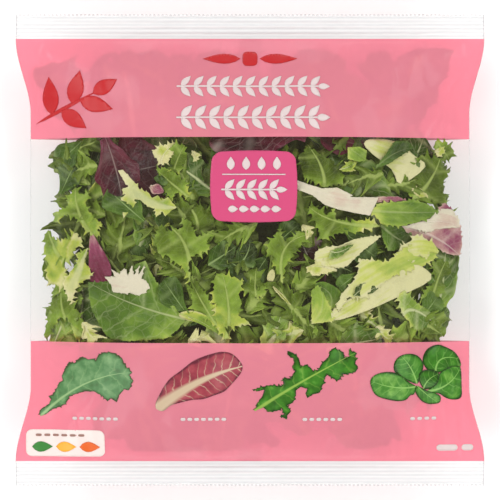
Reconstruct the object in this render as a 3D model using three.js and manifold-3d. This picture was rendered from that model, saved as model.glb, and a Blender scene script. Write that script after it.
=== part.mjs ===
// A sealed pillow bag of salad leaves, lying on its back with the printed front up.
//
// The bag is one film tube: a fin seal runs down the middle of its back, and a
// crimped seal with a zigzag cut closes each end. Leaves and trapped air fill it,
// so the front is crowned and lumpy, the back is flat where it rests, and the
// sides draw in from the flat width of the seals to a narrower waist.
// Millimetres, +X to the right of the front, +Y to its top, +Z up. The origin is
// on the resting plane, under the middle of the bag.

import * as THREE from 'three';
import { mergeVertices } from 'three/addons/utils/BufferGeometryUtils.js';
import Module from 'manifold-3d';

// Driving sizes
const SEAL_WIDTH = 250; // flat width of the film tube, as the end seals keep it
const WAIST_WIDTH = 234; // width between the side folds of the filled bag
const BAG_LENGTH = 252; // over both zigzag edges
const SEAL_DEPTH = 13.5; // from the zigzag edge to the filled part
const FLARE_LENGTH = 40; // over which the sides widen from waist to seal
const SEAM_HEIGHT = 21; // of the side folds and seals above the resting plane
const CROWN_HEIGHT = 39; // of the front above the side folds
const FILM = 0.8; // thickness that stands for two sealed films
const FIN_WIDTH = 12; // back fin seal, folded flat
const FIN_THICKNESS = 0.8;

// Crimping and zigzag cut of the end seals
const CRIMP_PITCH = 3;
const CRIMP_DEPTH = 0.45;
const CRIMP_STEPS = 4; // faces along one crimp
const TEETH = 115;
const TOOTH_DEPTH = 1.1;
const SEAL_DROOP = 2.5; // of the zigzag edge below the side folds

// Profile of the filled film, as exponents: flat in the middle, falling to folds and seals
const ACROSS_FLATNESS = 3.3;
const ACROSS_FALL = 1.15;
const FRONT_FLATNESS = 3; // along the bag
const BACK_FLATNESS = 3.4;
const ALONG_FALL = 0.85;

// Belly of the back: it rests flat where the bag is at least this full
const RESTING_FROM = 0.42;
const RESTING_FULLY = 0.6;
const BELLY_START = 1.7; // how fast the back drops away from a fold
const BELLY_EASE = 0.32; // and how soon it levels out

// Relief of the filled film
const LEAF_BUMP = 2; // height of the leaves that push the film out
const BUMP_SPACING = 27;
const BUMP_FROM = 0.1; // fullness at which leaves begin to press on the film
const BUMP_FULLY = 0.5;
const PLEAT_HEIGHT = 2.4; // of the gathers that start at each seal
const PLEAT_SPACING = 19;
const PLEAT_REACH = 26;
const PLEAT_START = 9; // over which a gather rises from the seal
const PLEAT_LENGTH = 90; // over which gathers change along the bag
const SIDE_PUCKER = 1.6; // of the short creases along the side folds
const PUCKER_SPACING = 23;
const PUCKER_FROM = 0.72; // share of the half-width where puckers begin
const PUCKER_CREST = 0.9;
const PUCKER_FADE = 0.93;
const RELIEF_FROM_EDGE = 0.06; // fullness by which the relief has its whole height

// Seeds of the noise, one for each kind of relief
const SEEDS = { bumps: 3, smallBumps: 8, frontPleats: 5, frontPuckers: 11, backPleats: 17, backPuckers: 23 };
const FAR_SIDE = 5; // moves the noise apart at the two ends and the two sides
const SCRAMBLE = { u: 127.1, v: 311.7, seed: 74.7, gain: 43758.5453 }; // turns a grid point into noise

// Mesh of the filled part
const COLUMNS = 46;
const ROWS_IN_BAND = 11;
const ROWS_IN_WINDOW = 21;
const COLUMN_CROWDING = 0.12; // how much closer the columns are at the side folds
const ROW_CROWDING = 1.35; // exponent that draws rows towards the seals

// Print, for the colours: two pink bands and a clear window between them
const TOP_BAND = 53.5; // from the top seal to the window
const BOTTOM_BAND = 64;
const SEAL_COLOUR = new THREE.Color('#eeeff0');
const BAND_COLOUR = new THREE.Color('#f58c9f');
const WINDOW_COLOUR = new THREE.Color('#6f9246');
const FILM_ROUGHNESS = 0.3;

// Worked out from the driving sizes
const FILL_HALF_LENGTH = BAG_LENGTH / 2 - SEAL_DEPTH;
const WINDOW_TOP = FILL_HALF_LENGTH - TOP_BAND;
const WINDOW_BOTTOM = BOTTOM_BAND - FILL_HALF_LENGTH;
const BELLY_DEPTH = SEAM_HEIGHT - FILM / 2 - FIN_THICKNESS;
const UNION_OVERLAP = 0.4; // by which joined solids reach into each other
const MERGE_WITHIN = 1e-4; // corners closer than this are one

const { smoothstep, lerp, clamp } = THREE.MathUtils;

const wasm = await Module();
wasm.setup();

// A closed three.js geometry as a solid that can be joined and cut.
function toSolid(geometry) {
  const bare = geometry.clone();
  bare.deleteAttribute('normal');
  bare.deleteAttribute('uv');
  const merged = mergeVertices(bare, MERGE_WITHIN);
  return new wasm.Manifold(
    new wasm.Mesh({
      numProp: 3,
      vertProperties: new Float32Array(merged.attributes.position.array),
      triVerts: new Uint32Array(merged.index.array),
    }),
  );
}

function toGeometry(solid) {
  const mesh = solid.getMesh();
  const geometry = new THREE.BufferGeometry();
  geometry.setAttribute('position', new THREE.BufferAttribute(new Float32Array(mesh.vertProperties), 3));
  geometry.setIndex(new THREE.BufferAttribute(new Uint32Array(mesh.triVerts), 1));
  return geometry;
}

// Repeatable noise in -1..1 that varies smoothly over one unit of u and v.
function smoothNoise(u, v, seed) {
  const corner = (i, j) => {
    const wave = Math.sin(i * SCRAMBLE.u + j * SCRAMBLE.v + seed * SCRAMBLE.seed) * SCRAMBLE.gain;
    return 2 * (wave - Math.floor(wave)) - 1;
  };
  const i = Math.floor(u);
  const j = Math.floor(v);
  const a = smoothstep(u - i, 0, 1);
  const b = smoothstep(v - j, 0, 1);
  return lerp(
    lerp(corner(i, j), corner(i + 1, j), a),
    lerp(corner(i, j + 1), corner(i + 1, j + 1), a),
    b,
  );
}

// Half the width of the bag at y: the flat seal's at both ends, the waist's between.
function halfWidth(y) {
  const fromSeal = FILL_HALF_LENGTH - Math.abs(y);
  return lerp(SEAL_WIDTH, WAIST_WIDTH, smoothstep(fromSeal, 0, FLARE_LENGTH)) / 2;
}

// How full the bag is, 0 at its folds and seals and 1 in the middle.
// t is the place across it and s along it, both -1..1.
function fullness(t, s, flatness) {
  const across = Math.max(0, 1 - Math.abs(t) ** ACROSS_FLATNESS) ** ACROSS_FALL;
  const along = Math.max(0, 1 - Math.abs(s) ** flatness) ** ALONG_FALL;
  return across * along;
}

// Gathers that run in from each seal and die away.
function pleats(x, y, seed) {
  const fromSeal = FILL_HALF_LENGTH - Math.abs(y);
  const reach = Math.exp(-fromSeal / PLEAT_REACH) * smoothstep(fromSeal, 0, PLEAT_START);
  const along = Math.sign(y) * FAR_SIDE + y / PLEAT_LENGTH;
  return PLEAT_HEIGHT * reach * smoothNoise((2 * x) / PLEAT_SPACING, along, seed);
}

// Short creases across each side fold, where the film is longer than the fold.
function puckers(t, y, seed) {
  const rise = smoothstep(Math.abs(t), PUCKER_FROM, PUCKER_CREST);
  const fade = 1 - smoothstep(Math.abs(t), PUCKER_FADE, 1);
  return SIDE_PUCKER * rise * fade * smoothNoise((2 * y) / PUCKER_SPACING, Math.sign(t) * FAR_SIDE, seed);
}

function frontHeight(t, y) {
  const full = fullness(t, y / FILL_HALF_LENGTH, FRONT_FLATNESS);
  const x = t * halfWidth(y);
  const u = x / BUMP_SPACING;
  const v = y / BUMP_SPACING;
  const bumps = smoothNoise(u, v, SEEDS.bumps) + smoothNoise(2 * u, 2 * v, SEEDS.smallBumps) / 2;
  const pressed = LEAF_BUMP * bumps * smoothstep(full, BUMP_FROM, BUMP_FULLY);
  const relief = pressed + pleats(x, y, SEEDS.frontPleats) + puckers(t, y, SEEDS.frontPuckers);
  return SEAM_HEIGHT + FILM / 2 + CROWN_HEIGHT * full + relief * smoothstep(full, 0, RELIEF_FROM_EDGE);
}

// The back rises from a flat middle, where it rests, to the folds and seals.
function backHeight(t, y) {
  const full = fullness(t, y / FILL_HALF_LENGTH, BACK_FLATNESS);
  const resting = smoothstep(full, RESTING_FROM, RESTING_FULLY);
  const sag = lerp(clamp(BELLY_START * full * (1 - BELLY_EASE * full), 0, 1), 1, resting);
  const x = t * halfWidth(y);
  const creased = pleats(x, y, SEEDS.backPleats) + puckers(t, y, SEEDS.backPuckers);
  const relief = creased * smoothstep(full, 0, RELIEF_FROM_EDGE) * (1 - resting);
  return SEAM_HEIGHT - FILM / 2 - BELLY_DEPTH * sag + Math.max(relief, -BELLY_DEPTH * (1 - sag));
}

// Places -1..1 for the columns, closer together towards the side folds.
function columnPlace(share) {
  const even = 2 * share - 1;
  return even + COLUMN_CROWDING * Math.sin(Math.PI * even);
}

// Rows of the mesh, with one on each edge of the printed bands and closer rows by the seals.
function rowPlaces() {
  const rows = [];
  const band = (from, to) => {
    for (let i = 0; i < ROWS_IN_BAND; i++) {
      rows.push(lerp(from, to, (i / ROWS_IN_BAND) ** ROW_CROWDING));
    }
  };
  band(-FILL_HALF_LENGTH, WINDOW_BOTTOM);
  for (let i = 0; i <= ROWS_IN_WINDOW; i++) {
    rows.push(lerp(WINDOW_BOTTOM, WINDOW_TOP, i / ROWS_IN_WINDOW));
  }
  const lower = rows.length;
  band(FILL_HALF_LENGTH, WINDOW_TOP);
  const upper = rows.splice(lower).reverse();
  return rows.concat(upper);
}

// The filled part: a box of unit size whose top and bottom grids become front and back.
function filledPart() {
  const rows = rowPlaces();
  const geometry = new THREE.BoxGeometry(1, 1, 1, COLUMNS, rows.length - 1, 1);
  const position = geometry.attributes.position;
  for (let i = 0; i < position.count; i++) {
    const t = columnPlace(position.getX(i) + 0.5);
    const y = rows[Math.round((position.getY(i) + 0.5) * (rows.length - 1))];
    const isFront = position.getZ(i) > 0;
    position.setXYZ(i, t * halfWidth(y), y, isFront ? frontHeight(t, y) : backHeight(t, y));
  }
  return toSolid(geometry);
}

// One end seal, made along +Y from the filled part outwards: a crimped strip of film.
function crimpedSeal() {
  const crimped = SEAL_DEPTH - TOOTH_DEPTH;
  const steps = Math.round((crimped / CRIMP_PITCH) * CRIMP_STEPS);
  const line = [];
  for (let i = 0; i <= steps; i++) {
    const out = (crimped * i) / steps;
    const crimp = CRIMP_DEPTH * Math.sin((2 * Math.PI * out) / CRIMP_PITCH) * smoothstep(out, 0, CRIMP_PITCH);
    line.push(new THREE.Vector2(out, crimp - (SEAL_DROOP * out) / SEAL_DEPTH));
  }
  line[0].x -= UNION_OVERLAP;
  line.push(new THREE.Vector2(SEAL_DEPTH, line[steps].y));
  const upper = line.map((p) => new THREE.Vector2(p.x, p.y + FILM / 2));
  const lower = line.map((p) => new THREE.Vector2(p.x, p.y - FILM / 2)).reverse();
  const strip = new THREE.ExtrudeGeometry(new THREE.Shape([...upper, ...lower]), {
    depth: SEAL_WIDTH,
    bevelEnabled: false,
  });
  // The profile's x is the way out along +Y, its y is up, and it is extruded along X.
  strip.rotateX(Math.PI / 2);
  strip.rotateZ(Math.PI / 2);
  strip.translate(-SEAL_WIDTH / 2, FILL_HALF_LENGTH, SEAM_HEIGHT);
  return toSolid(strip).subtract(toSolid(zigzagCutter()));
}

// What the zigzag knife takes off the top seal: a comb that reaches in by one tooth.
function zigzagCutter() {
  const pitch = SEAL_WIDTH / TEETH;
  const edge = BAG_LENGTH / 2;
  const comb = new THREE.Shape();
  comb.moveTo(-SEAL_WIDTH / 2 - pitch, edge + TOOTH_DEPTH);
  for (let i = 0; i <= TEETH; i++) {
    const x = -SEAL_WIDTH / 2 + i * pitch;
    comb.lineTo(x, edge - TOOTH_DEPTH);
    comb.lineTo(x + pitch / 2, edge);
  }
  comb.lineTo(SEAL_WIDTH / 2 + pitch, edge + TOOTH_DEPTH);
  const tall = 4 * (FILM + CRIMP_DEPTH + SEAL_DROOP);
  const cutter = new THREE.ExtrudeGeometry(comb, { depth: tall, bevelEnabled: false });
  return cutter.translate(0, 0, SEAM_HEIGHT - tall / 2);
}

// The fin seal: a flat strip that follows the back from one end seal to the other.
function finSeal() {
  const rows = rowPlaces();
  const geometry = new THREE.BoxGeometry(1, 1, 1, 1, rows.length - 1, 1);
  const position = geometry.attributes.position;
  for (let i = 0; i < position.count; i++) {
    const y = rows[Math.round((position.getY(i) + 0.5) * (rows.length - 1))];
    const under = backHeight(0, y);
    const isUpper = position.getZ(i) > 0;
    position.setXYZ(i, position.getX(i) * FIN_WIDTH, y, isUpper ? under + UNION_OVERLAP : under - FIN_THICKNESS);
  }
  return toSolid(geometry);
}

// Seal, band and window each have the colour that they show, face by face.
function paintPrint(geometry) {
  const painted = geometry.toNonIndexed();
  const position = painted.attributes.position;
  const colours = new Float32Array(position.count * 3);
  for (let i = 0; i < position.count; i += 3) {
    const y = (position.getY(i) + position.getY(i + 1) + position.getY(i + 2)) / 3;
    const inWindow = y > WINDOW_BOTTOM && y < WINDOW_TOP;
    const inSeal = Math.abs(y) > FILL_HALF_LENGTH;
    const colour = inSeal ? SEAL_COLOUR : inWindow ? WINDOW_COLOUR : BAND_COLOUR;
    for (let corner = 0; corner < 3; corner++) {
      colour.toArray(colours, 3 * (i + corner));
    }
  }
  painted.setAttribute('color', new THREE.BufferAttribute(colours, 3));
  painted.computeVertexNormals();
  return painted;
}

function saladBag() {
  const topSeal = crimpedSeal();
  const bottomSeal = topSeal.rotate([0, 0, 180]);
  const solid = filledPart().add(finSeal()).add(topSeal).add(bottomSeal);
  const film = new THREE.MeshStandardMaterial({
    vertexColors: true,
    roughness: FILM_ROUGHNESS,
    metalness: 0,
  });
  const mesh = new THREE.Mesh(paintPrint(toGeometry(solid)), film);
  mesh.name = 'salad_bag';
  return mesh;
}

const bag = new THREE.Group();
bag.add(saladBag());

export default bag;
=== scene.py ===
"""A sealed pillow bag of salad leaves: printed clear film, and the leaves inside it."""

import math
import random
from collections import namedtuple
from functools import partial
from typing import NamedTuple

import bmesh
import bpy
import numpy as np
from bpy.props import FloatProperty, FloatVectorProperty, IntProperty, PointerProperty
from bpy.types import Operator, Panel, PropertyGroup
from mathutils.geometry import delaunay_2d_cdt
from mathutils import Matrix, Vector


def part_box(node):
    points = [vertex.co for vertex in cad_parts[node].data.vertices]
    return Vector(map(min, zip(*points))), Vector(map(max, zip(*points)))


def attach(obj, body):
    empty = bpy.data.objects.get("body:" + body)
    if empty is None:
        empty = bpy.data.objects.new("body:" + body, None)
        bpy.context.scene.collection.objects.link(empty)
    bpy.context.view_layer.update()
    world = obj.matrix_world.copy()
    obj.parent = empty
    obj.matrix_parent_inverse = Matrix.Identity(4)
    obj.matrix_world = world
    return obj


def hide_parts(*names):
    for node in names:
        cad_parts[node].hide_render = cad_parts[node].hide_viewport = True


bl_info = {
    "name": "Bag of Salad Leaves",
    "version": (1, 0, 0),
    "blender": (4, 5, 0),
    "location": "View3D > Sidebar > Salad Bag",
    "description": "Models a sealed film bag with a pink print and the leaves that fill it",
    "category": "Object",
}

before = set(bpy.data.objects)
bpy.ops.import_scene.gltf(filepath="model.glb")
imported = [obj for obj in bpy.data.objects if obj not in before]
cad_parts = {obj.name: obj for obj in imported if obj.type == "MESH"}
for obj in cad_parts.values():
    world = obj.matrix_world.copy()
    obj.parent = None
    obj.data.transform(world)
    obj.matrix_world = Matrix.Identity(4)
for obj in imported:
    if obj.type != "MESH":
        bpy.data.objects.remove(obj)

NODE = "salad_bag"
BODY = "root"
MM = 0.001
LOW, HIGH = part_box(NODE)


# Colours and numbers


def srgb(hex_colour):
    """Turn an sRGB hex colour into the linear RGBA that Blender's shaders use."""
    channels = [int(hex_colour[i:i + 2], 16) / 255 for i in (1, 3, 5)]
    bent = [c / 12.92 if c <= 0.04045 else ((c + 0.055) / 1.055) ** 2.4 for c in channels]
    return (*bent, 1.0)


def smoothstep(x, low, high):
    """Rise from 0 at low to 1 at high without a corner."""
    s = np.clip((x - low) / (high - low), 0.0, 1.0)
    return s * s * (3 - 2 * s)


def lerp(a, b, share):
    """Go from a to b as share goes from 0 to 1."""
    return a + (b - a) * share


def smooth_noise(u, v, seed):
    """Repeatable noise from -1 to 1 that varies smoothly over one unit of u and v."""
    i, j = np.floor(u), np.floor(v)

    def corner(a, b):
        wave = np.sin(a * 127.1 + b * 311.7 + seed * 74.7) * 43758.5453
        return 2 * (wave - np.floor(wave)) - 1

    a, b = smoothstep(u - i, 0, 1), smoothstep(v - j, 0, 1)
    near = lerp(corner(i, j), corner(i + 1, j), a)
    far = lerp(corner(i, j + 1), corner(i + 1, j + 1), a)
    return lerp(near, far, b)


# Settings that the panel shows


class SALADBAG_PG_size(PropertyGroup):
    """Sizes of the bag, which the film, the print and the leaves follow"""

    seal_width: FloatProperty(
        name="Seal width", description="Flat width of the film tube, as its end seals keep it",
        default=HIGH.x - LOW.x, min=0.1, unit="LENGTH")
    waist_width: FloatProperty(
        name="Waist width", description="Width between the side folds of the filled bag",
        default=0.234, min=0.1, unit="LENGTH")
    length: FloatProperty(
        name="Length", description="Length over both zigzag edges",
        default=HIGH.y - LOW.y, min=0.1, unit="LENGTH")
    seal_depth: FloatProperty(
        name="Seal depth", description="From the zigzag edge to the filled part",
        default=0.0135, min=0.004, unit="LENGTH")
    flare_length: FloatProperty(
        name="Flare length", description="Length over which the sides widen towards a seal",
        default=0.040, min=0.01, unit="LENGTH")
    seam_height: FloatProperty(
        name="Seam height", description="Height of the side folds above the resting plane",
        default=0.021, min=0.005, unit="LENGTH")
    crown_height: FloatProperty(
        name="Crown height", description="Height of the front above the side folds",
        default=0.039, min=0.005, unit="LENGTH")
    top_band: FloatProperty(
        name="Top band", description="Printed film from the top seal to the window",
        default=0.0535, min=0.0, unit="LENGTH")
    bottom_band: FloatProperty(
        name="Bottom band", description="Printed film from the bottom seal to the window",
        default=0.064, min=0.0, unit="LENGTH")
    tooth_pitch: FloatProperty(
        name="Tooth pitch", description="Width of one tooth of the zigzag cut",
        default=0.25 / 115, min=0.001, unit="LENGTH")
    tooth_depth: FloatProperty(
        name="Tooth depth", description="Depth of the zigzag cut",
        default=0.0011, min=0.0, unit="LENGTH")
    crimp_pitch: FloatProperty(
        name="Crimp pitch", description="Distance between the ribs of an end seal",
        default=0.003, min=0.001, unit="LENGTH")


INK_SETTINGS = {"subtype": "COLOR", "size": 4, "min": 0, "max": 1}


class SALADBAG_PG_print(PropertyGroup):
    """Colours of the film and its inks"""

    band: FloatVectorProperty(
        name="Bands", description="Translucent ink of the two bands",
        default=srgb("#f993a4"), **INK_SETTINGS)
    label: FloatVectorProperty(
        name="Label", description="Ink of the square label in the window",
        default=srgb("#c44b73"), **INK_SETTINGS)
    mark: FloatVectorProperty(
        name="Marks", description="Ink of the sprig and the rule in the top band",
        default=srgb("#b5292c"), **INK_SETTINGS)
    white: FloatVectorProperty(
        name="White", description="White ink",
        default=srgb("#cfbfbd"), **INK_SETTINGS)
    panel: FloatVectorProperty(
        name="Panel", description="Ink of the rounded panel in the bottom corner",
        default=srgb("#e2d3cd"), **INK_SETTINGS)


class SALADBAG_PG_leaves(PropertyGroup):
    """How the bag is filled"""

    seed: IntProperty(
        name="Seed", description="Start of the random draws that lay the unplaced leaves",
        default=4, min=0)
    thickness: FloatProperty(
        name="Thickness", description="Thickness of a leaf's blade",
        default=0.0005, min=0.0001, unit="LENGTH")
    frisee: IntProperty(
        name="Curly endive", description="Leaves of curly endive laid under the placed ones",
        default=40, min=0)
    escarole: IntProperty(
        name="Escarole", description="Leaves of escarole laid under the placed ones",
        default=20, min=0)
    radicchio: IntProperty(
        name="Radicchio", description="Leaves of radicchio laid under the placed ones",
        default=5, min=0)
    lambs_lettuce: IntProperty(
        name="Lamb's lettuce", description="Leaves of lamb's lettuce laid under the placed ones",
        default=26, min=0)


# The form of the film


class Gather(NamedTuple):
    """One size of the gathers that run in from each seal. All in mm."""

    height: float
    spacing: float
    reach: float             # over which it dies away
    start: float             # over which it rises from the seal
    run: float               # over which its course changes


class Film:
    """The two films as heights in millimetres over the resting plane."""

    FILM_GAP = 0.15          # half the distance between the two films in a seal
    FIN_ROOM = 0.86          # for the fin seal under the back
    FIN_WIDTH = 12.0
    FIN_FILM = 0.4           # thickness of the doubled and folded film
    FIN_RIB = 0.12
    FIN_PITCH = 3.0
    SIDE_ROUNDNESS = 3.3     # powers that round the form towards the side folds
    SIDE_SLOPE = 1.15
    FRONT_ROUNDNESS = 3.0    # and towards the seals
    BACK_ROUNDNESS = 3.4
    END_SLOPE = 0.85
    RELIEF_START = 0.06      # fullness by which bumps and creases have their whole height
    LEAF_BUMP = 2.0          # height of the leaves that push the film out
    BUMP_SPACING = 27.0
    BUMP_FULLNESS = (0.1, 0.5)
    GATHERS = (Gather(2.4, 9.5, 26.0, 9.0, 90.0), Gather(0.4, 3.1, 11.0, 5.0, 60.0))
    PUCKER_HEIGHT = 1.6      # of the short creases along the side folds
    PUCKER_SPACING = 11.5
    PUCKER_BAND = (0.72, 0.9, 0.93, 1.0)  # where they rise and end, from the middle to the fold
    CREASE_HEIGHT = 0.55     # of the sharp small creases in slack film
    CREASE_SPACING = 9.0
    TAUT_CREASE = 0.16       # what is left of them where the film is taut
    TAUT_FULLNESS = (0.25, 0.75)
    CRIMP_HEIGHT = 0.45
    DROOP = 2.5              # of the zigzag edge below the side folds
    REST_FULLNESS = (0.42, 0.6)  # over which the back comes down flat
    SEEDS = {"bumps": 3, "small bumps": 8, "front": 5, "back": 17, "bends": 31, "creases": 29}
    PUCKER_SEED = 6          # added to a side's own seed

    def __init__(self, size):
        self.seal_width = size.seal_width / MM
        self.waist_width = size.waist_width / MM
        self.length = size.length / MM
        self.seal_depth = size.seal_depth / MM
        self.flare_length = size.flare_length / MM
        self.seam = size.seam_height / MM
        self.crown = size.crown_height / MM
        self.crimp_pitch = size.crimp_pitch / MM
        self.tooth_depth = size.tooth_depth / MM
        self.teeth = round(size.seal_width / size.tooth_pitch)
        self.fill = self.length / 2 - self.seal_depth
        self.window_top = self.fill - size.top_band / MM
        self.window_bottom = size.bottom_band / MM - self.fill

    def half_width(self, y):
        """Half the bag's width at y: the waist's, widening to the flat seals."""
        widening = 1 - smoothstep(self.fill - np.abs(y), 0, self.flare_length)
        return lerp(self.waist_width, self.seal_width, widening) / 2

    def fullness(self, t, y, roundness):
        """How full the bag is: 0 at the folds and seals, 1 in the middle."""
        s = np.clip(np.abs(y) / self.fill, 0, 1)
        across = np.clip(1 - np.abs(t) ** self.SIDE_ROUNDNESS, 0, 1) ** self.SIDE_SLOPE
        along = (1 - s ** roundness) ** self.END_SLOPE
        return across * along

    def gathers(self, x, y, seed):
        """Gathers that run in from each seal and die away, with finer ones between."""
        from_seal = np.clip(self.fill - np.abs(y), 0, None)
        total = 0.0
        for size, gather in enumerate(self.GATHERS):
            share = np.exp(-from_seal / gather.reach) * smoothstep(from_seal, 0, gather.start)
            course = np.sign(y) * 5 + y / gather.run
            wave = smooth_noise(x / gather.spacing, course, seed + 2 * size)
            total = total + gather.height * share * wave
        return total

    def puckers(self, t, y, seed):
        """Short creases across each side fold, where the film is longer than the fold."""
        off = np.abs(t)
        rise, full, fall, end = self.PUCKER_BAND
        near_fold = smoothstep(off, rise, full) * (1 - smoothstep(off, fall, end))
        wave = smooth_noise(y / self.PUCKER_SPACING, np.sign(t) * 5, seed + self.PUCKER_SEED)
        return self.PUCKER_HEIGHT * near_fold * wave

    def creases(self, x, y, full):
        """Sharp small creases, deepest where the film is slack near its folds and seals."""
        u, v = x / self.CREASE_SPACING, y / self.CREASE_SPACING
        bend = smooth_noise(u / 2, v / 2, self.SEEDS["bends"])
        ridge = 1 - np.abs(smooth_noise(u + bend, 0.6 * v - bend, self.SEEDS["creases"])) * 2
        slack = lerp(self.TAUT_CREASE, 1.0, 1 - smoothstep(full, *self.TAUT_FULLNESS))
        return self.CREASE_HEIGHT * slack * np.clip(ridge, 0, 1) ** 2

    def seal(self, y):
        """Height of the middle of an end seal, crimped and drooping to its edge."""
        out = np.clip(np.abs(y) - self.fill, 0, None)
        crimp = np.sin(2 * math.pi * out / self.crimp_pitch) * smoothstep(out, 0, self.crimp_pitch)
        return self.seam + self.CRIMP_HEIGHT * crimp - self.DROOP * out / self.seal_depth

    def front(self, x, y):
        """Height of the front film at x and y."""
        t = x / self.half_width(y)
        full = self.fullness(t, y, self.FRONT_ROUNDNESS)
        u, v = x / self.BUMP_SPACING, y / self.BUMP_SPACING
        bumps = smooth_noise(u, v, self.SEEDS["bumps"])
        bumps = bumps + 0.5 * smooth_noise(2 * u, 2 * v, self.SEEDS["small bumps"])
        relief = self.LEAF_BUMP * bumps * smoothstep(full, *self.BUMP_FULLNESS)
        seed = self.SEEDS["front"]
        relief = relief + self.gathers(x, y, seed) + self.puckers(t, y, seed) + self.creases(x, y, full)
        rise = self.crown * full + relief * smoothstep(full, 0, self.RELIEF_START)
        return self.seal(y) + self.FILM_GAP + rise

    def back(self, x, y):
        """Height of the back film at x and y: flat where the bag rests."""
        t = x / self.half_width(y)
        full = self.fullness(t, y, self.BACK_ROUNDNESS)
        resting = smoothstep(full, *self.REST_FULLNESS)
        sag = lerp(np.clip(1.7 * full * (1 - 0.32 * full), 0, 1), 1, resting)
        belly = self.seam - self.FILM_GAP - self.FIN_ROOM
        seed = self.SEEDS["back"]
        relief = self.gathers(x, y, seed) + self.puckers(t, y, seed) - self.creases(x, y, full)
        relief = relief * smoothstep(full, 0, self.RELIEF_START) * (1 - resting)
        return self.seal(y) - self.FILM_GAP - belly * sag + np.maximum(relief, -belly * (1 - sag))


# Shaders


def add_node(material, kind, inputs=(), stops=(), **settings):
    """Add a shader node, set its properties, and fill or link its inputs.

    An input takes a value, a socket, or a node, which stands for its first output.
    stops are the (place, colour) pairs of a colour ramp.
    """
    node = material.node_tree.nodes.new(kind)
    for name, value in settings.items():
        setattr(node, name, value)
    for name, value in dict(inputs).items():
        if isinstance(value, bpy.types.Node):
            value = value.outputs[0]
        if isinstance(value, bpy.types.NodeSocket):
            material.node_tree.links.new(value, node.inputs[name])
        else:
            node.inputs[name].default_value = value
    for i, (place, colour) in enumerate(stops):
        ramp = node.color_ramp.elements
        stop = ramp[i] if i < 2 else ramp.new(place)
        stop.position = place
        stop.color = colour
    return node


def new_material(name):
    """An empty node material, and add_node for it."""
    material = bpy.data.materials.new(name)
    material.use_nodes = True
    material.node_tree.nodes.clear()
    return material, partial(add_node, material)


def finish_material(material, surface):
    """Send a shader to the material's output."""
    add_node(material, "ShaderNodeOutputMaterial", {"Surface": surface})
    return material


def film_gloss(add, body, roughness):
    """Lay the sheen of thin polypropylene film, cast and stretched smooth, over a shader.

    Both faces of the film mirror a little head on and much more at a slant. Faint
    ripples a few millimetres long break up its reflections.
    """
    place = add("ShaderNodeTexCoord").outputs["Object"]
    ripples = add(
        "ShaderNodeTexNoise",
        {"Vector": place, "Scale": 1 / (7 * MM), "Detail": 3.0, "Roughness": 0.55})
    bump = add("ShaderNodeBump", {"Height": ripples, "Strength": 0.2, "Distance": 0.4 * MM})
    facing = add("ShaderNodeLayerWeight", {"Blend": 0.5}).outputs["Facing"]
    slant = add("ShaderNodeMath", {0: facing, 1: 4.0}, operation="POWER")
    share = add("ShaderNodeMath", {0: slant, 1: 0.75, 2: 0.004}, operation="MULTIPLY_ADD")
    gloss = add("ShaderNodeBsdfGlossy", {"Color": (1, 1, 1, 1), "Roughness": roughness, "Normal": bump})
    return add("ShaderNodeMixShader", {0: share, 1: body, 2: gloss})


def clear_film():
    """Cast clear film: nearly invisible head on, with a faint warm haze."""
    material, add = new_material("clear_polypropylene_film")
    through = add("ShaderNodeBsdfTransparent", {"Color": (0.997, 0.998, 0.996, 1)})
    haze = add("ShaderNodeBsdfDiffuse", {"Color": srgb("#ecdfb4")})
    body = add("ShaderNodeMixShader", {0: 0.015, 1: through, 2: haze})
    return finish_material(material, film_gloss(add, body, 0.2))


def inked_film(ink):
    """Clear film gravure-printed with one thin coat of pink: what lies behind shows as dim shade."""
    material, add = new_material("pink_printed_film")
    tint = tuple(math.sqrt(c) for c in ink[:3]) + (1.0,)
    through = add("ShaderNodeBsdfTransparent", {"Color": tint})
    place = add("ShaderNodeTexCoord").outputs["Object"]
    # Ink lies a little uneven, in soft clouds of about 30 mm
    clouds = add("ShaderNodeTexNoise", {"Vector": place, "Scale": 1 / (30 * MM), "Detail": 2.0})
    deep = tuple(0.93 * c for c in ink[:3]) + (1.0,)
    coat = add("ShaderNodeMix", {"Factor": clouds, 6: deep, 7: ink}, data_type="RGBA")
    solid = add("ShaderNodeBsdfDiffuse", {"Color": coat.outputs[2]})
    body = add("ShaderNodeMixShader", {0: 0.61, 1: through, 2: solid})
    return finish_material(material, film_gloss(add, body, 0.16))


def seal_film():
    """Film that was welded under a ribbed bar: two layers gone milky."""
    material, add = new_material("heat_sealed_film")
    through = add("ShaderNodeBsdfTransparent", {"Color": (0.97, 0.97, 0.97, 1)})
    place = add("ShaderNodeTexCoord").outputs["Object"]
    along = add("ShaderNodeSeparateXYZ", {"Vector": place}).outputs["Y"]
    # Greyer lines 2 mm apart across the seal, along its ribs
    line = add("ShaderNodeMath", {0: along, 1: 1 * MM}, operation="PINGPONG")
    greyer_lines = add("ShaderNodeMapRange", {"Value": line, 1: 0.2 * MM, 2: 0.7 * MM, 3: 0.0, 4: 1.0})
    tint = add(
        "ShaderNodeMix", {"Factor": greyer_lines, 6: srgb("#dedfe0"), 7: srgb("#ecedec")}, data_type="RGBA")
    milk = add("ShaderNodeBsdfDiffuse", {"Color": tint.outputs[2]})
    body = add("ShaderNodeMixShader", {0: 0.55, 1: through, 2: milk})
    return finish_material(material, film_gloss(add, body, 0.25))


def solid_ink(name, colour):
    """A heavy coat of ink under the film's gloss: dense, with faint mottling from the press."""
    material, add = new_material(name)
    place = add("ShaderNodeTexCoord").outputs["Object"]
    mottle = add("ShaderNodeTexNoise", {"Vector": place, "Scale": 1 / (4 * MM), "Detail": 3.0})
    deep = tuple(0.93 * c for c in colour[:3]) + (1.0,)
    coat = add("ShaderNodeMix", {"Factor": mottle, 6: deep, 7: colour}, data_type="RGBA")
    body = add(
        "ShaderNodeBsdfPrincipled",
        {"Base Color": coat.outputs[2], "Roughness": 0.35, "Specular IOR Level": 0.15})
    return finish_material(material, body)


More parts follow.
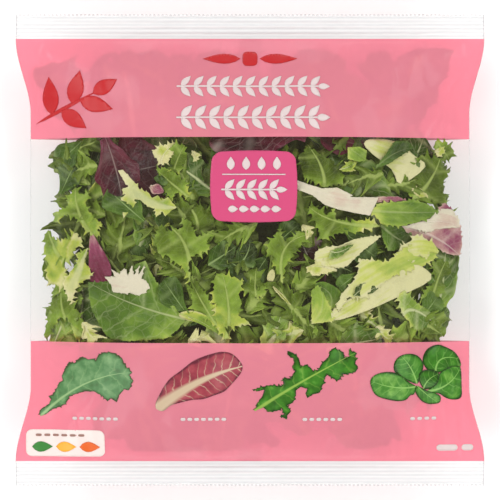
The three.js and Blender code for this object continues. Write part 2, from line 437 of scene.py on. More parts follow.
LEAF_MARKS = ("tone", "rib", "veined", "branch")
# Sockets that say where a point lies: in the bag, on the leaf map, from 0 at the stalk to 1 at
# the tip, and from 0 on the rib to 1 at the margin. One for each mark follows them.
LeafSpot = namedtuple("LeafSpot", ("place", "uv", "along", "off_rib", *LEAF_MARKS))


def leaf_spot(add):
    """Read the leaf map and the marks of a leaf's points."""
    uv = add("ShaderNodeUVMap", uv_map="leaf").outputs["UV"]
    split = add("ShaderNodeSeparateXYZ", {"Vector": uv})
    signed = add("ShaderNodeMath", {0: split.outputs["X"], 1: 2.0, 2: -1.0}, operation="MULTIPLY_ADD")
    off_rib = add("ShaderNodeMath", {0: signed}, operation="ABSOLUTE").outputs[0]
    place = add("ShaderNodeTexCoord").outputs["Object"]
    marks = [add("ShaderNodeAttribute", attribute_name=mark).outputs["Fac"] for mark in LEAF_MARKS]
    return LeafSpot(place, uv, split.outputs["Y"], off_rib, *marks)


def from_side_vein(add, spot, veins, slant, wander):
    """Distance from the nearest side vein. Veins leave the rib at a slant and wander a little."""
    slanted = add("ShaderNodeMath", {0: spot.off_rib, 1: -slant, 2: wander}, operation="MULTIPLY_ADD")
    count = add("ShaderNodeMath", {0: spot.along, 1: veins, 2: slanted}, operation="MULTIPLY_ADD")
    return add("ShaderNodeMath", {0: count, 1: 0.5}, operation="PINGPONG")


def rib_share(add, spot, strength, widths, core, **settings):
    """Where the rib is: widths, at stalk and tip, times the leaf's own, and soft past its core."""
    taper = add(
        "ShaderNodeMapRange", {"Value": spot.along, 1: 0.0, 2: 0.95, 3: widths[0], 4: widths[1]})
    rib_edge = add("ShaderNodeMath", {0: spot.rib, 1: taper}, operation="MULTIPLY")
    inside = add("ShaderNodeMath", {0: spot.off_rib, 1: rib_edge}, operation="DIVIDE")
    return add(
        "ShaderNodeMapRange", {"Value": inside, 1: core, 2: 1.4, 3: strength, 4: 0.0}, **settings)


def leaf_material(name, blade, rib_colour, rib_strength, veins, vein_strength, roughness):
    """A fresh leaf's skin: waxy, with a pale rib, side veins and puffed fields between them.

    blade holds the ramp of (tone, colour) from dark to pale. Each leaf has its own
    tone, which drifts over the blade in patches and pales towards the stalk. Painted light
    pales the frilled margin too, as where light comes through.
    """
    material, add = new_material(name)
    spot = leaf_spot(add)

    # Patches about 8 mm wide
    patches = add("ShaderNodeTexNoise", {"Vector": spot.place, "Scale": 1 / (8 * MM), "Detail": 4.0})
    drift = add("ShaderNodeMath", {0: patches, 1: 0.55, 2: -0.29}, operation="MULTIPLY_ADD")
    uneven = add("ShaderNodeMath", {0: spot.veined, 1: 0.7, 2: 0.3}, operation="MULTIPLY_ADD")
    drift = add("ShaderNodeMath", {0: drift, 1: uneven}, operation="MULTIPLY")
    # A stem has no veins but fibres, some 10 across it, which run its whole length as streaks: partly their
    # own tone, partly painted shade
    stretched = add("ShaderNodeMapping", {"Vector": spot.uv, "Scale": (10, 1.6, 1)})
    fibre_shade = add("ShaderNodeTexNoise", {"Vector": stretched, "Scale": 1.0, "Detail": 3.0})
    bare = add("ShaderNodeMath", {0: 1.0, 1: spot.veined}, operation="SUBTRACT")
    streaks = add("ShaderNodeMath", {0: fibre_shade, 1: 0.36, 2: -0.19}, operation="MULTIPLY_ADD")
    drift = add("ShaderNodeMath", {0: streaks, 1: bare, 2: drift}, operation="MULTIPLY_ADD")
    # The stalk end is paler, and the margin lighter with painted light, as if lit through
    toward_stalk = add("ShaderNodeMapRange", {"Value": spot.along, 1: 0.0, 2: 0.55, 3: 0.24, 4: 0.0})
    painted_margin_glow = add("ShaderNodeMapRange", {"Value": spot.off_rib, 1: 0.55, 2: 1.0, 3: 0.0, 4: 0.13})
    local = spot.tone
    for change in (drift, toward_stalk, painted_margin_glow):
        local = add("ShaderNodeMath", {0: local, 1: change}, operation="ADD")
    ramp = add("ShaderNodeValToRGB", {"Fac": local}, stops=blade)

    # Side veins, a net between them with fields of about 6 mm, the rib, and veins into the lobes
    from_vein = from_side_vein(add, spot, veins, 1.9, patches)
    side_vein = add(
        "ShaderNodeMapRange", {"Value": from_vein, 1: 0.01, 2: 0.09, 3: 1.0, 4: 0.0},
        interpolation_type="SMOOTHSTEP")
    net = add(
        "ShaderNodeTexVoronoi", {"Vector": spot.place, "Scale": 1 / (6 * MM)},
        feature="DISTANCE_TO_EDGE")
    net_vein = add("ShaderNodeMapRange", {"Value": net, 1: 0.0, 2: 0.07, 3: 0.6, 4: 0.0})
    vein = add("ShaderNodeMath", {0: side_vein, 1: net_vein}, operation="MAXIMUM")
    pale = add("ShaderNodeMath", {0: vein, 1: vein_strength}, operation="MULTIPLY")
    rib = rib_share(add, spot, rib_strength, (1.6, 0.2), 0.4, interpolation_type="SMOOTHSTEP")
    lobe_vein = add("ShaderNodeMath", {0: spot.branch, 1: 0.6 * rib_strength}, operation="MULTIPLY")
    for line in (rib, lobe_vein):
        pale = add("ShaderNodeMath", {0: pale, 1: line}, operation="MAXIMUM")
    pale = add("ShaderNodeMath", {0: pale, 1: spot.veined}, operation="MULTIPLY")
    skin = add(
        "ShaderNodeMix", {"Factor": pale, 6: ramp, 7: rib_colour}, data_type="RGBA").outputs[2]

    # The fields between veins puff up, the rib and veins stand proud, and the skin crinkles
    puff = add("ShaderNodeMath", {0: from_vein, 1: patches}, operation="MULTIPLY_ADD")
    puff = add("ShaderNodeMath", {0: puff, 1: pale}, operation="ADD")
    crinkle = add("ShaderNodeTexNoise", {"Vector": spot.place, "Scale": 1 / (2.5 * MM), "Detail": 2.0})
    puff = add("ShaderNodeMath", {0: crinkle, 1: 0.9, 2: puff}, operation="MULTIPLY_ADD")
    bump = add("ShaderNodeBump", {"Height": puff, "Strength": 0.6, "Distance": 1.2 * MM})
    surface = add(
        "ShaderNodeBsdfPrincipled",
        {"Base Color": skin, "Roughness": roughness, "Specular IOR Level": 0.14, "Normal": bump})
    glow = add("ShaderNodeBsdfTranslucent", {"Color": skin, "Normal": bump})
    body = add("ShaderNodeMixShader", {0: 0.2, 1: surface, 2: glow})
    return finish_material(material, body)


def picture_ink(name, blade, vein_colour, veins, vein_strength, rib_strength=0.8):
    """A leaf printed in flat inks under the film's gloss: toned blade, pale veins, dark edge."""
    material, add = new_material(name)
    spot = leaf_spot(add)
    # Soft lights and shades of about 5 mm, and a darker line where the blade ends
    clouds = add("ShaderNodeTexNoise", {"Vector": spot.place, "Scale": 1 / (5 * MM), "Detail": 3.0})
    shade = add("ShaderNodeMath", {0: clouds, 1: 0.9, 2: -0.45}, operation="MULTIPLY_ADD")
    edge = add("ShaderNodeMapRange", {"Value": spot.off_rib, 1: 0.8, 2: 0.98, 3: 0.0, 4: -0.5})
    local = spot.tone
    for change in (shade, edge):
        local = add("ShaderNodeMath", {0: local, 1: change}, operation="ADD")
    ramp = add("ShaderNodeValToRGB", {"Fac": local}, stops=blade)
    from_vein = from_side_vein(add, spot, veins, 1.4, clouds)
    vein = add("ShaderNodeMapRange", {"Value": from_vein, 1: 0.01, 2: 0.09, 3: vein_strength, 4: 0.0})
    fading = add("ShaderNodeMapRange", {"Value": spot.off_rib, 1: 0.1, 2: 0.9, 3: 1.0, 4: 0.1})
    vein = add("ShaderNodeMath", {0: vein, 1: fading}, operation="MULTIPLY")
    rib = rib_share(add, spot, rib_strength, (1.7, 0.15), 0.6)
    pale = add("ShaderNodeMath", {0: vein, 1: rib}, operation="MAXIMUM")
    ink = add(
        "ShaderNodeMix", {"Factor": pale, 6: ramp, 7: vein_colour}, data_type="RGBA").outputs[2]
    body = add(
        "ShaderNodeBsdfPrincipled", {"Base Color": ink, "Roughness": 0.35, "Specular IOR Level": 0.15})
    return finish_material(material, body)


def core_material():
    """The leaves deep in the heap, crumpled too finely to count: dark greens and painted shade."""
    material, add = new_material("packed_leaves_in_shade")
    place = add("ShaderNodeTexCoord").outputs["Object"]
    crumple = add(
        "ShaderNodeTexNoise",
        {"Vector": place, "Scale": 1 / (12 * MM), "Detail": 6.0, "Roughness": 0.65, "Distortion": 1.4})
    ramp = add(
        "ShaderNodeValToRGB", {"Fac": crumple},
        stops=[(0.3, srgb("#25240f")), (0.5, srgb("#39431a")), (0.7, srgb("#5c702e"))])
    bump = add("ShaderNodeBump", {"Height": crumple, "Strength": 0.9, "Distance": 3 * MM})
    body = add("ShaderNodeBsdfPrincipled", {"Base Color": ramp, "Roughness": 0.5, "Normal": bump})
    return finish_material(material, body)


# Making and finishing pieces


def add_piece(name, bm, materials):
    """Turn a bmesh in millimetres into an object that rides with the bag."""
    bmesh.ops.scale(bm, vec=(MM, MM, MM), verts=bm.verts)
    mesh = bpy.data.meshes.new(name)
    bm.to_mesh(mesh)
    bm.free()
    mesh.shade_smooth()
    for material in materials:
        mesh.materials.append(material)
    piece = bpy.data.objects.new(name, mesh)
    bpy.context.scene.collection.objects.link(piece)
    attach(piece, BODY)
    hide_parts(NODE)
    return piece


def thicken(piece, thickness):
    """Give a sheet its wall, half on each side."""
    solid = piece.modifiers.new("thickness", "SOLIDIFY")
    solid.thickness = thickness
    solid.offset = 0
    return piece


HEX_ROW = 0.87           # from row to row of an even net of triangles, beside its spacing


def fill_outline(bm, outline, spacing):
    """Fill a flat outline with triangles no wider than spacing. Gives its verts and faces."""
    rim = []
    for start, end in zip(outline, outline[1:] + outline[:1]):
        steps = max(1, math.ceil(math.dist(start, end) / spacing))
        rim += [lerp(np.array(start), np.array(end), i / steps) for i in range(steps)]
    low, high = np.min(rim, axis=0), np.max(rim, axis=0)
    inner = []
    for row, y in enumerate(np.arange(low[1], high[1], HEX_ROW * spacing)):
        inner += [(x, y) for x in np.arange(low[0] + row % 2 * spacing / 2, high[0], spacing)]
    places, _, triangles, *_ = delaunay_2d_cdt(rim + inner, [], [list(range(len(rim)))], 1, 1e-4)
    used = sorted({i for corners in triangles for i in corners})
    verts = {i: bm.verts.new((*places[i], 0)) for i in used}
    faces = [bm.faces.new([verts[i] for i in corners]) for corners in triangles]
    bmesh.ops.recalc_face_normals(bm, faces=faces)
    for face in faces:
        if face.normal.z < 0:
            face.normal_flip()
    return list(verts.values()), faces


SEAL_ROWS, BOTTOM_ROWS, WINDOW_ROWS, TOP_ROWS = 31, 35, 59, 30
LAST_ROW = 0.2           # mm from the last row of a seal to the roots of its teeth
CROWDING = 0.1           # how far columns draw together towards the side folds
CROWDING_START = 30.0    # mm from a seal over which they do so


def film_rows(film):
    """Places of the film's rows along the bag, with one on each edge of the print."""
    crimps = np.linspace(0, film.seal_depth - film.tooth_depth - LAST_ROW, SEAL_ROWS + 1)[1:]
    low_seal = -film.fill - crimps[::-1]
    bottom = np.linspace(-film.fill, film.window_bottom, BOTTOM_ROWS, endpoint=False)
    window = np.linspace(film.window_bottom, film.window_top, WINDOW_ROWS, endpoint=False)
    top = np.linspace(film.window_top, film.fill, TOP_ROWS + 1)
    edge = film.length / 2
    return np.concatenate([[-edge], low_seal, bottom, window, top, film.fill + crimps, [edge]])


def make_film(film, materials):
    """One closed pillow of film: a front and a back sheet that meet at folds and zigzag edges."""
    rows = film_rows(film)
    columns = 2 * film.teeth
    last = len(rows) - 1
    bm = bmesh.new()
    for facing in (1, -1):
        before = len(bm.verts)
        bmesh.ops.create_grid(bm, x_segments=columns, y_segments=last, size=1.0)
        bm.verts.ensure_lookup_table()
        sheet = bm.verts[before:]
        flat = np.array([v.co[:2] for v in sheet])
        column = np.rint((flat[:, 0] + 1) / 2 * columns).astype(int)
        row = np.rint((flat[:, 1] + 1) / 2 * last).astype(int)
        even = 2 * column / columns - 1
        y = rows[row]
        inner = smoothstep(film.fill - np.abs(y), 0, CROWDING_START)
        t = even + CROWDING * inner * np.sin(math.pi * even)
        x = t * film.half_width(y)
        at_end = (row == 0) | (row == last)
        y = np.where(at_end & (column % 2 == 1), y - np.sign(y) * film.tooth_depth, y)
        z = film.front(x, y) if facing > 0 else film.back(x, y)
        on_edge = at_end | (column == 0) | (column == columns)
        z = np.where(on_edge, film.seal(y), z)
        for vertex, place in zip(sheet, np.column_stack([x, y, z])):
            vertex.co = place
        if facing < 0:
            bmesh.ops.reverse_faces(bm, faces=list({f for v in sheet for f in v.link_faces}))
    bmesh.ops.remove_doubles(bm, verts=bm.verts, dist=0.01)
    for face in bm.faces:
        y = face.calc_center_median().y
        in_window = film.window_bottom < y < film.window_top
        face.material_index = 2 if abs(y) > film.fill else 0 if in_window else 1
    return add_piece("film_bag", bm, materials)


def make_fin_seal(film, material):
    """The lengthwise seal, folded flat under the back: a ribbed strip of doubled film."""
    bm = bmesh.new()
    bmesh.ops.create_grid(bm, x_segments=6, y_segments=320, size=1.0)
    for vertex in bm.verts:
        x, y = vertex.co.x * film.FIN_WIDTH / 2, vertex.co.y * film.fill
        rib = film.FIN_RIB * math.sin(2 * math.pi * y / film.FIN_PITCH)
        vertex.co = (x, y, float(film.back(0.0, y)) - film.FIN_ROOM / 2 - film.FIN_RIB + rib)
    return thicken(add_piece("back_fin_seal", bm, [material]), film.FIN_FILM * MM)


# The leaves


class Kind(NamedTuple):
    """The form of one kind of leaf. Lengths are in mm and the rest are shares or counts."""

    rows: int            # faces along the leaf
    columns: int         # faces across it
    stalk: float         # width of the stalk beside the blade's
    shoulder: float      # place along the leaf where the blade is full
    bluntness: float     # how round the tip is
    lobe_pitch: float    # spacing of the lobes on each side
    lobe_depth: float
    tooth_pitch: float
    tooth: float         # length of a tooth
    lean: float          # how far lobes point forward
    ruffle: float        # height of the waves along the margin
    wave: float          # length of those waves
    twist: float         # how far a lobe turns and lifts out of the blade
    rib: float           # half-width of the pale rib


FRISEE = Kind(68, 8, 0.36, 0.18, 2.2, 7.0, 0.82, 3.2, 6.5, 0.7, 2.8, 9.0, 5.0, 0.2)
OUTER_FRISEE = Kind(72, 8, 0.28, 0.22, 2.4, 8.5, 0.7, 3.8, 6.5, 0.7, 3.0, 11.0, 5.0, 0.16)
ESCAROLE = Kind(72, 14, 0.4, 0.4, 2.2, 10.0, 0.16, 3.6, 3.4, 0.3, 2.6, 13.0, 2.6, 0.08)
RADICCHIO = Kind(40, 14, 0.3, 0.45, 2.2, 18.0, 0.08, 7.0, 0.4, 0.1, 1.6, 20.0, 1.6, 0.05)
LAMBS_LETTUCE = Kind(26, 10, 0.16, 0.6, 2.2, 30.0, 0.0, 30.0, 0.0, 0.1, 0.7, 22.0, 0.6, 0.05)


class Leaf(NamedTuple):
    """Where one leaf lies, in mm from the middle of the bag, and what sets it apart."""

    base: tuple
    tip: tuple
    width: float
    tone: float              # from dark at 0 to pale at 1
    depth: float = 2.0       # of the leaf behind the film
    rib: float = 0.0         # half-width of its rib, or 0 for the kind's own
    bend: float = 0.0        # turn of the rib from base to tip, in radians
    roll: float = 0.0        # turn about the rib, in radians
    facing: int = 1          # 1 lies against the front film, -1 against the back
    frill: float = 1.0       # share of the kind's lobes, teeth and ruffles
    veined: float = 1.0      # share of the kind's rib and veins that shows


PLACED = {
    "frisee_leaves": [
        Leaf((-76, 18), (-100, 32), 20, 0.4, 5.8, bend=-0.5),
        Leaf((-88, -20), (-110, -6), 26, 0.5, 6.1, bend=-0.4),
        Leaf((-92, -50), (-104, -30), 22, 0.45, 6.1, bend=-0.6),
        Leaf((-76, -52), (-96, -40), 18, 0.5, 5.4),
        Leaf((-24, -20), (-50, -4), 20, 0.42, 5.1, bend=0.5),
        Leaf((-22, 2), (-44, 34), 22, 0.36, 6.5, bend=-0.3),
        Leaf((-30, 24), (-40, 44), 18, 0.42, 5.1, bend=0.6),
        Leaf((-2, -32), (18, -8), 24, 0.4, 5.4, bend=0.4),
        Leaf((34, -46), (14, -16), 26, 0.42, 4.1, bend=-0.4),
        Leaf((22, -22), (42, 4), 20, 0.48, 4.4, bend=0.5),
        Leaf((8, 4), (30, -24), 24, 0.36, 6.5, bend=-0.4),
        Leaf((4, 14), (-16, 4), 16, 0.5, 3.1, bend=0.4),
        Leaf((6, 4), (-12, -8), 16, 0.3, 5.8, bend=-0.4),
        Leaf((60, 40), (36, 30), 22, 0.36, 5.4, bend=-0.4),
        Leaf((72, 34), (90, 38), 16, 0.4, 4.2, bend=0.4),
        Leaf((70, 40), (50, 34), 18, 0.4, 4.4, bend=0.4),
        Leaf((78, -34), (103, -46), 26, 0.52, 4.4, bend=-0.4),
        Leaf((40, -34), (60, -50), 22, 0.44, 4.8, bend=0.3),
        Leaf((-2, -52), (30, -46), 20, 0.42, 4.8, bend=-0.3),
        Leaf((22, -30), (40, -44), 18, 0.36, 3.4, bend=0.5),
        Leaf((-60, -52), (-30, -48), 18, 0.4, 5.8),
        Leaf((-98, 52), (-80, 58), 18, 0.36, 4.4, bend=0.4),
        Leaf((-84, 34), (-102, 54), 22, 0.36, 4.4, bend=-0.4),
        Leaf((-80, 44), (-100, 38), 18, 0.42, 3.1, bend=0.5),
        Leaf((-34, -40), (-24, -14), 18, 0.46, 4.1, bend=0.5),
        Leaf((70, -50), (100, -36), 20, 0.5, 5.1, bend=0.3),
        Leaf((96, 6), (104, 30), 18, 0.4, 5.4, bend=0.3),
    ],
    "frisee_hearts": [
        Leaf((-88, -38), (-80, -48), 10, 0.95, 1.7, bend=0.5),
        Leaf((-32, -49), (-22, -44), 11, 0.93, 2.4),
        Leaf((28, -42), (12, -48), 12, 0.74, 3.7, bend=0.5),
        Leaf((56, -30), (75, -46), 14, 0.72, 5.4, bend=0.5),
        Leaf((27, 13), (32, 7), 6, 0.97, 2.0),
        Leaf((66, -40), (74, -48), 9, 0.84, 2.7, bend=0.5),
        Leaf((12, -19), (21, -28.5), 1.4, 0.88, 1.4, frill=0.0),
        Leaf((-37, -34), (-29, -37), 1.6, 0.97, 1.4, frill=0.0),
    ],
    "escarole_leaves": [
        Leaf((-14, -56), (-20, -24), 14, 0.66, 5.4, rib=0.4),
        Leaf((-18, 30), (-40, 46), 22, 0.34, 5.8),
        Leaf((40, -52), (70, -46), 20, 0.4, 4.4, rib=0.1),
        Leaf((-104, -50), (-92, -20), 16, 0.5, 5.8),
        Leaf((8, -58), (16, -34), 14, 0.62, 4.1, rib=0.3),
        Leaf((100, -30), (104, 0), 24, 0.36, 5.8),
        Leaf((-90, -50), (-88, -12), 28, 0.22, 8.5),
        Leaf((-84, 26), (-88, 60), 28, 0.14, 7.5),
        Leaf((82, 36), (92, 60), 28, 0.26, 7.5),
        Leaf((88, -54), (98, -26), 26, 0.3, 7.5),
    ],
    "radicchio_leaves": [
        Leaf((-73, 40), (-41, 46), 40, 0.02, 3.3, rib=0.02, bend=0.2, veined=0.16),
        Leaf((-76, 60), (-66, 19), 25, 0.06, 2.7, rib=0.035, bend=-0.3, veined=0.24),
        Leaf((30, 60), (-20, 57), 22, 0.08, 3.1, rib=0.04, bend=0.2, veined=0.5),
        Leaf((-52, 33), (-45, 30), 6, 0.52, 1.5, veined=0.2),
        Leaf((60, 54), (38, 60), 16, 0.1, 5.8, veined=0.1),
    ],
    "lambs_lettuce_leaves": [
        Leaf((-33, -33), (-45, -16), 14, 0.24, 1.7),
        Leaf((-55, 15), (-74, 31), 18, 0.3, 2.2),
        Leaf((-100, 30), (-92, 46), 15, 0.2, 3.1),
        Leaf((-88, 58), (-104, 44), 14, 0.25, 3.4),
        Leaf((12, 2), (26, 14), 14, 0.2, 5.1),
        Leaf((48, 10), (66, -4), 15, 0.2, 3.7),
        Leaf((56, -12), (46, -20), 10, 0.36, 3.1),
        Leaf((90, -36), (100, -24), 12, 0.35, 4.4),
        Leaf((-52, 48), (-40, 36), 13, 0.28, 4.4),
        Leaf((-14, -4), (2, -14), 14, 0.12, 5.1),
        Leaf((10, -2), (2, -14), 12, 0.16, 5.8),
    ],
}


class Fragment(NamedTuple):
    """A torn piece of a leaf, drawn by its corners in mm from the stalk end round."""

    tone: float
    depth: float             # behind the film, or for a picture its place over the others
    teeth: float             # length of the teeth on its margin, or 0 for a smooth one
    outline: tuple
    rib: float = 0.065       # half-width of its rib as a share of its own
    veined: float = 1.0


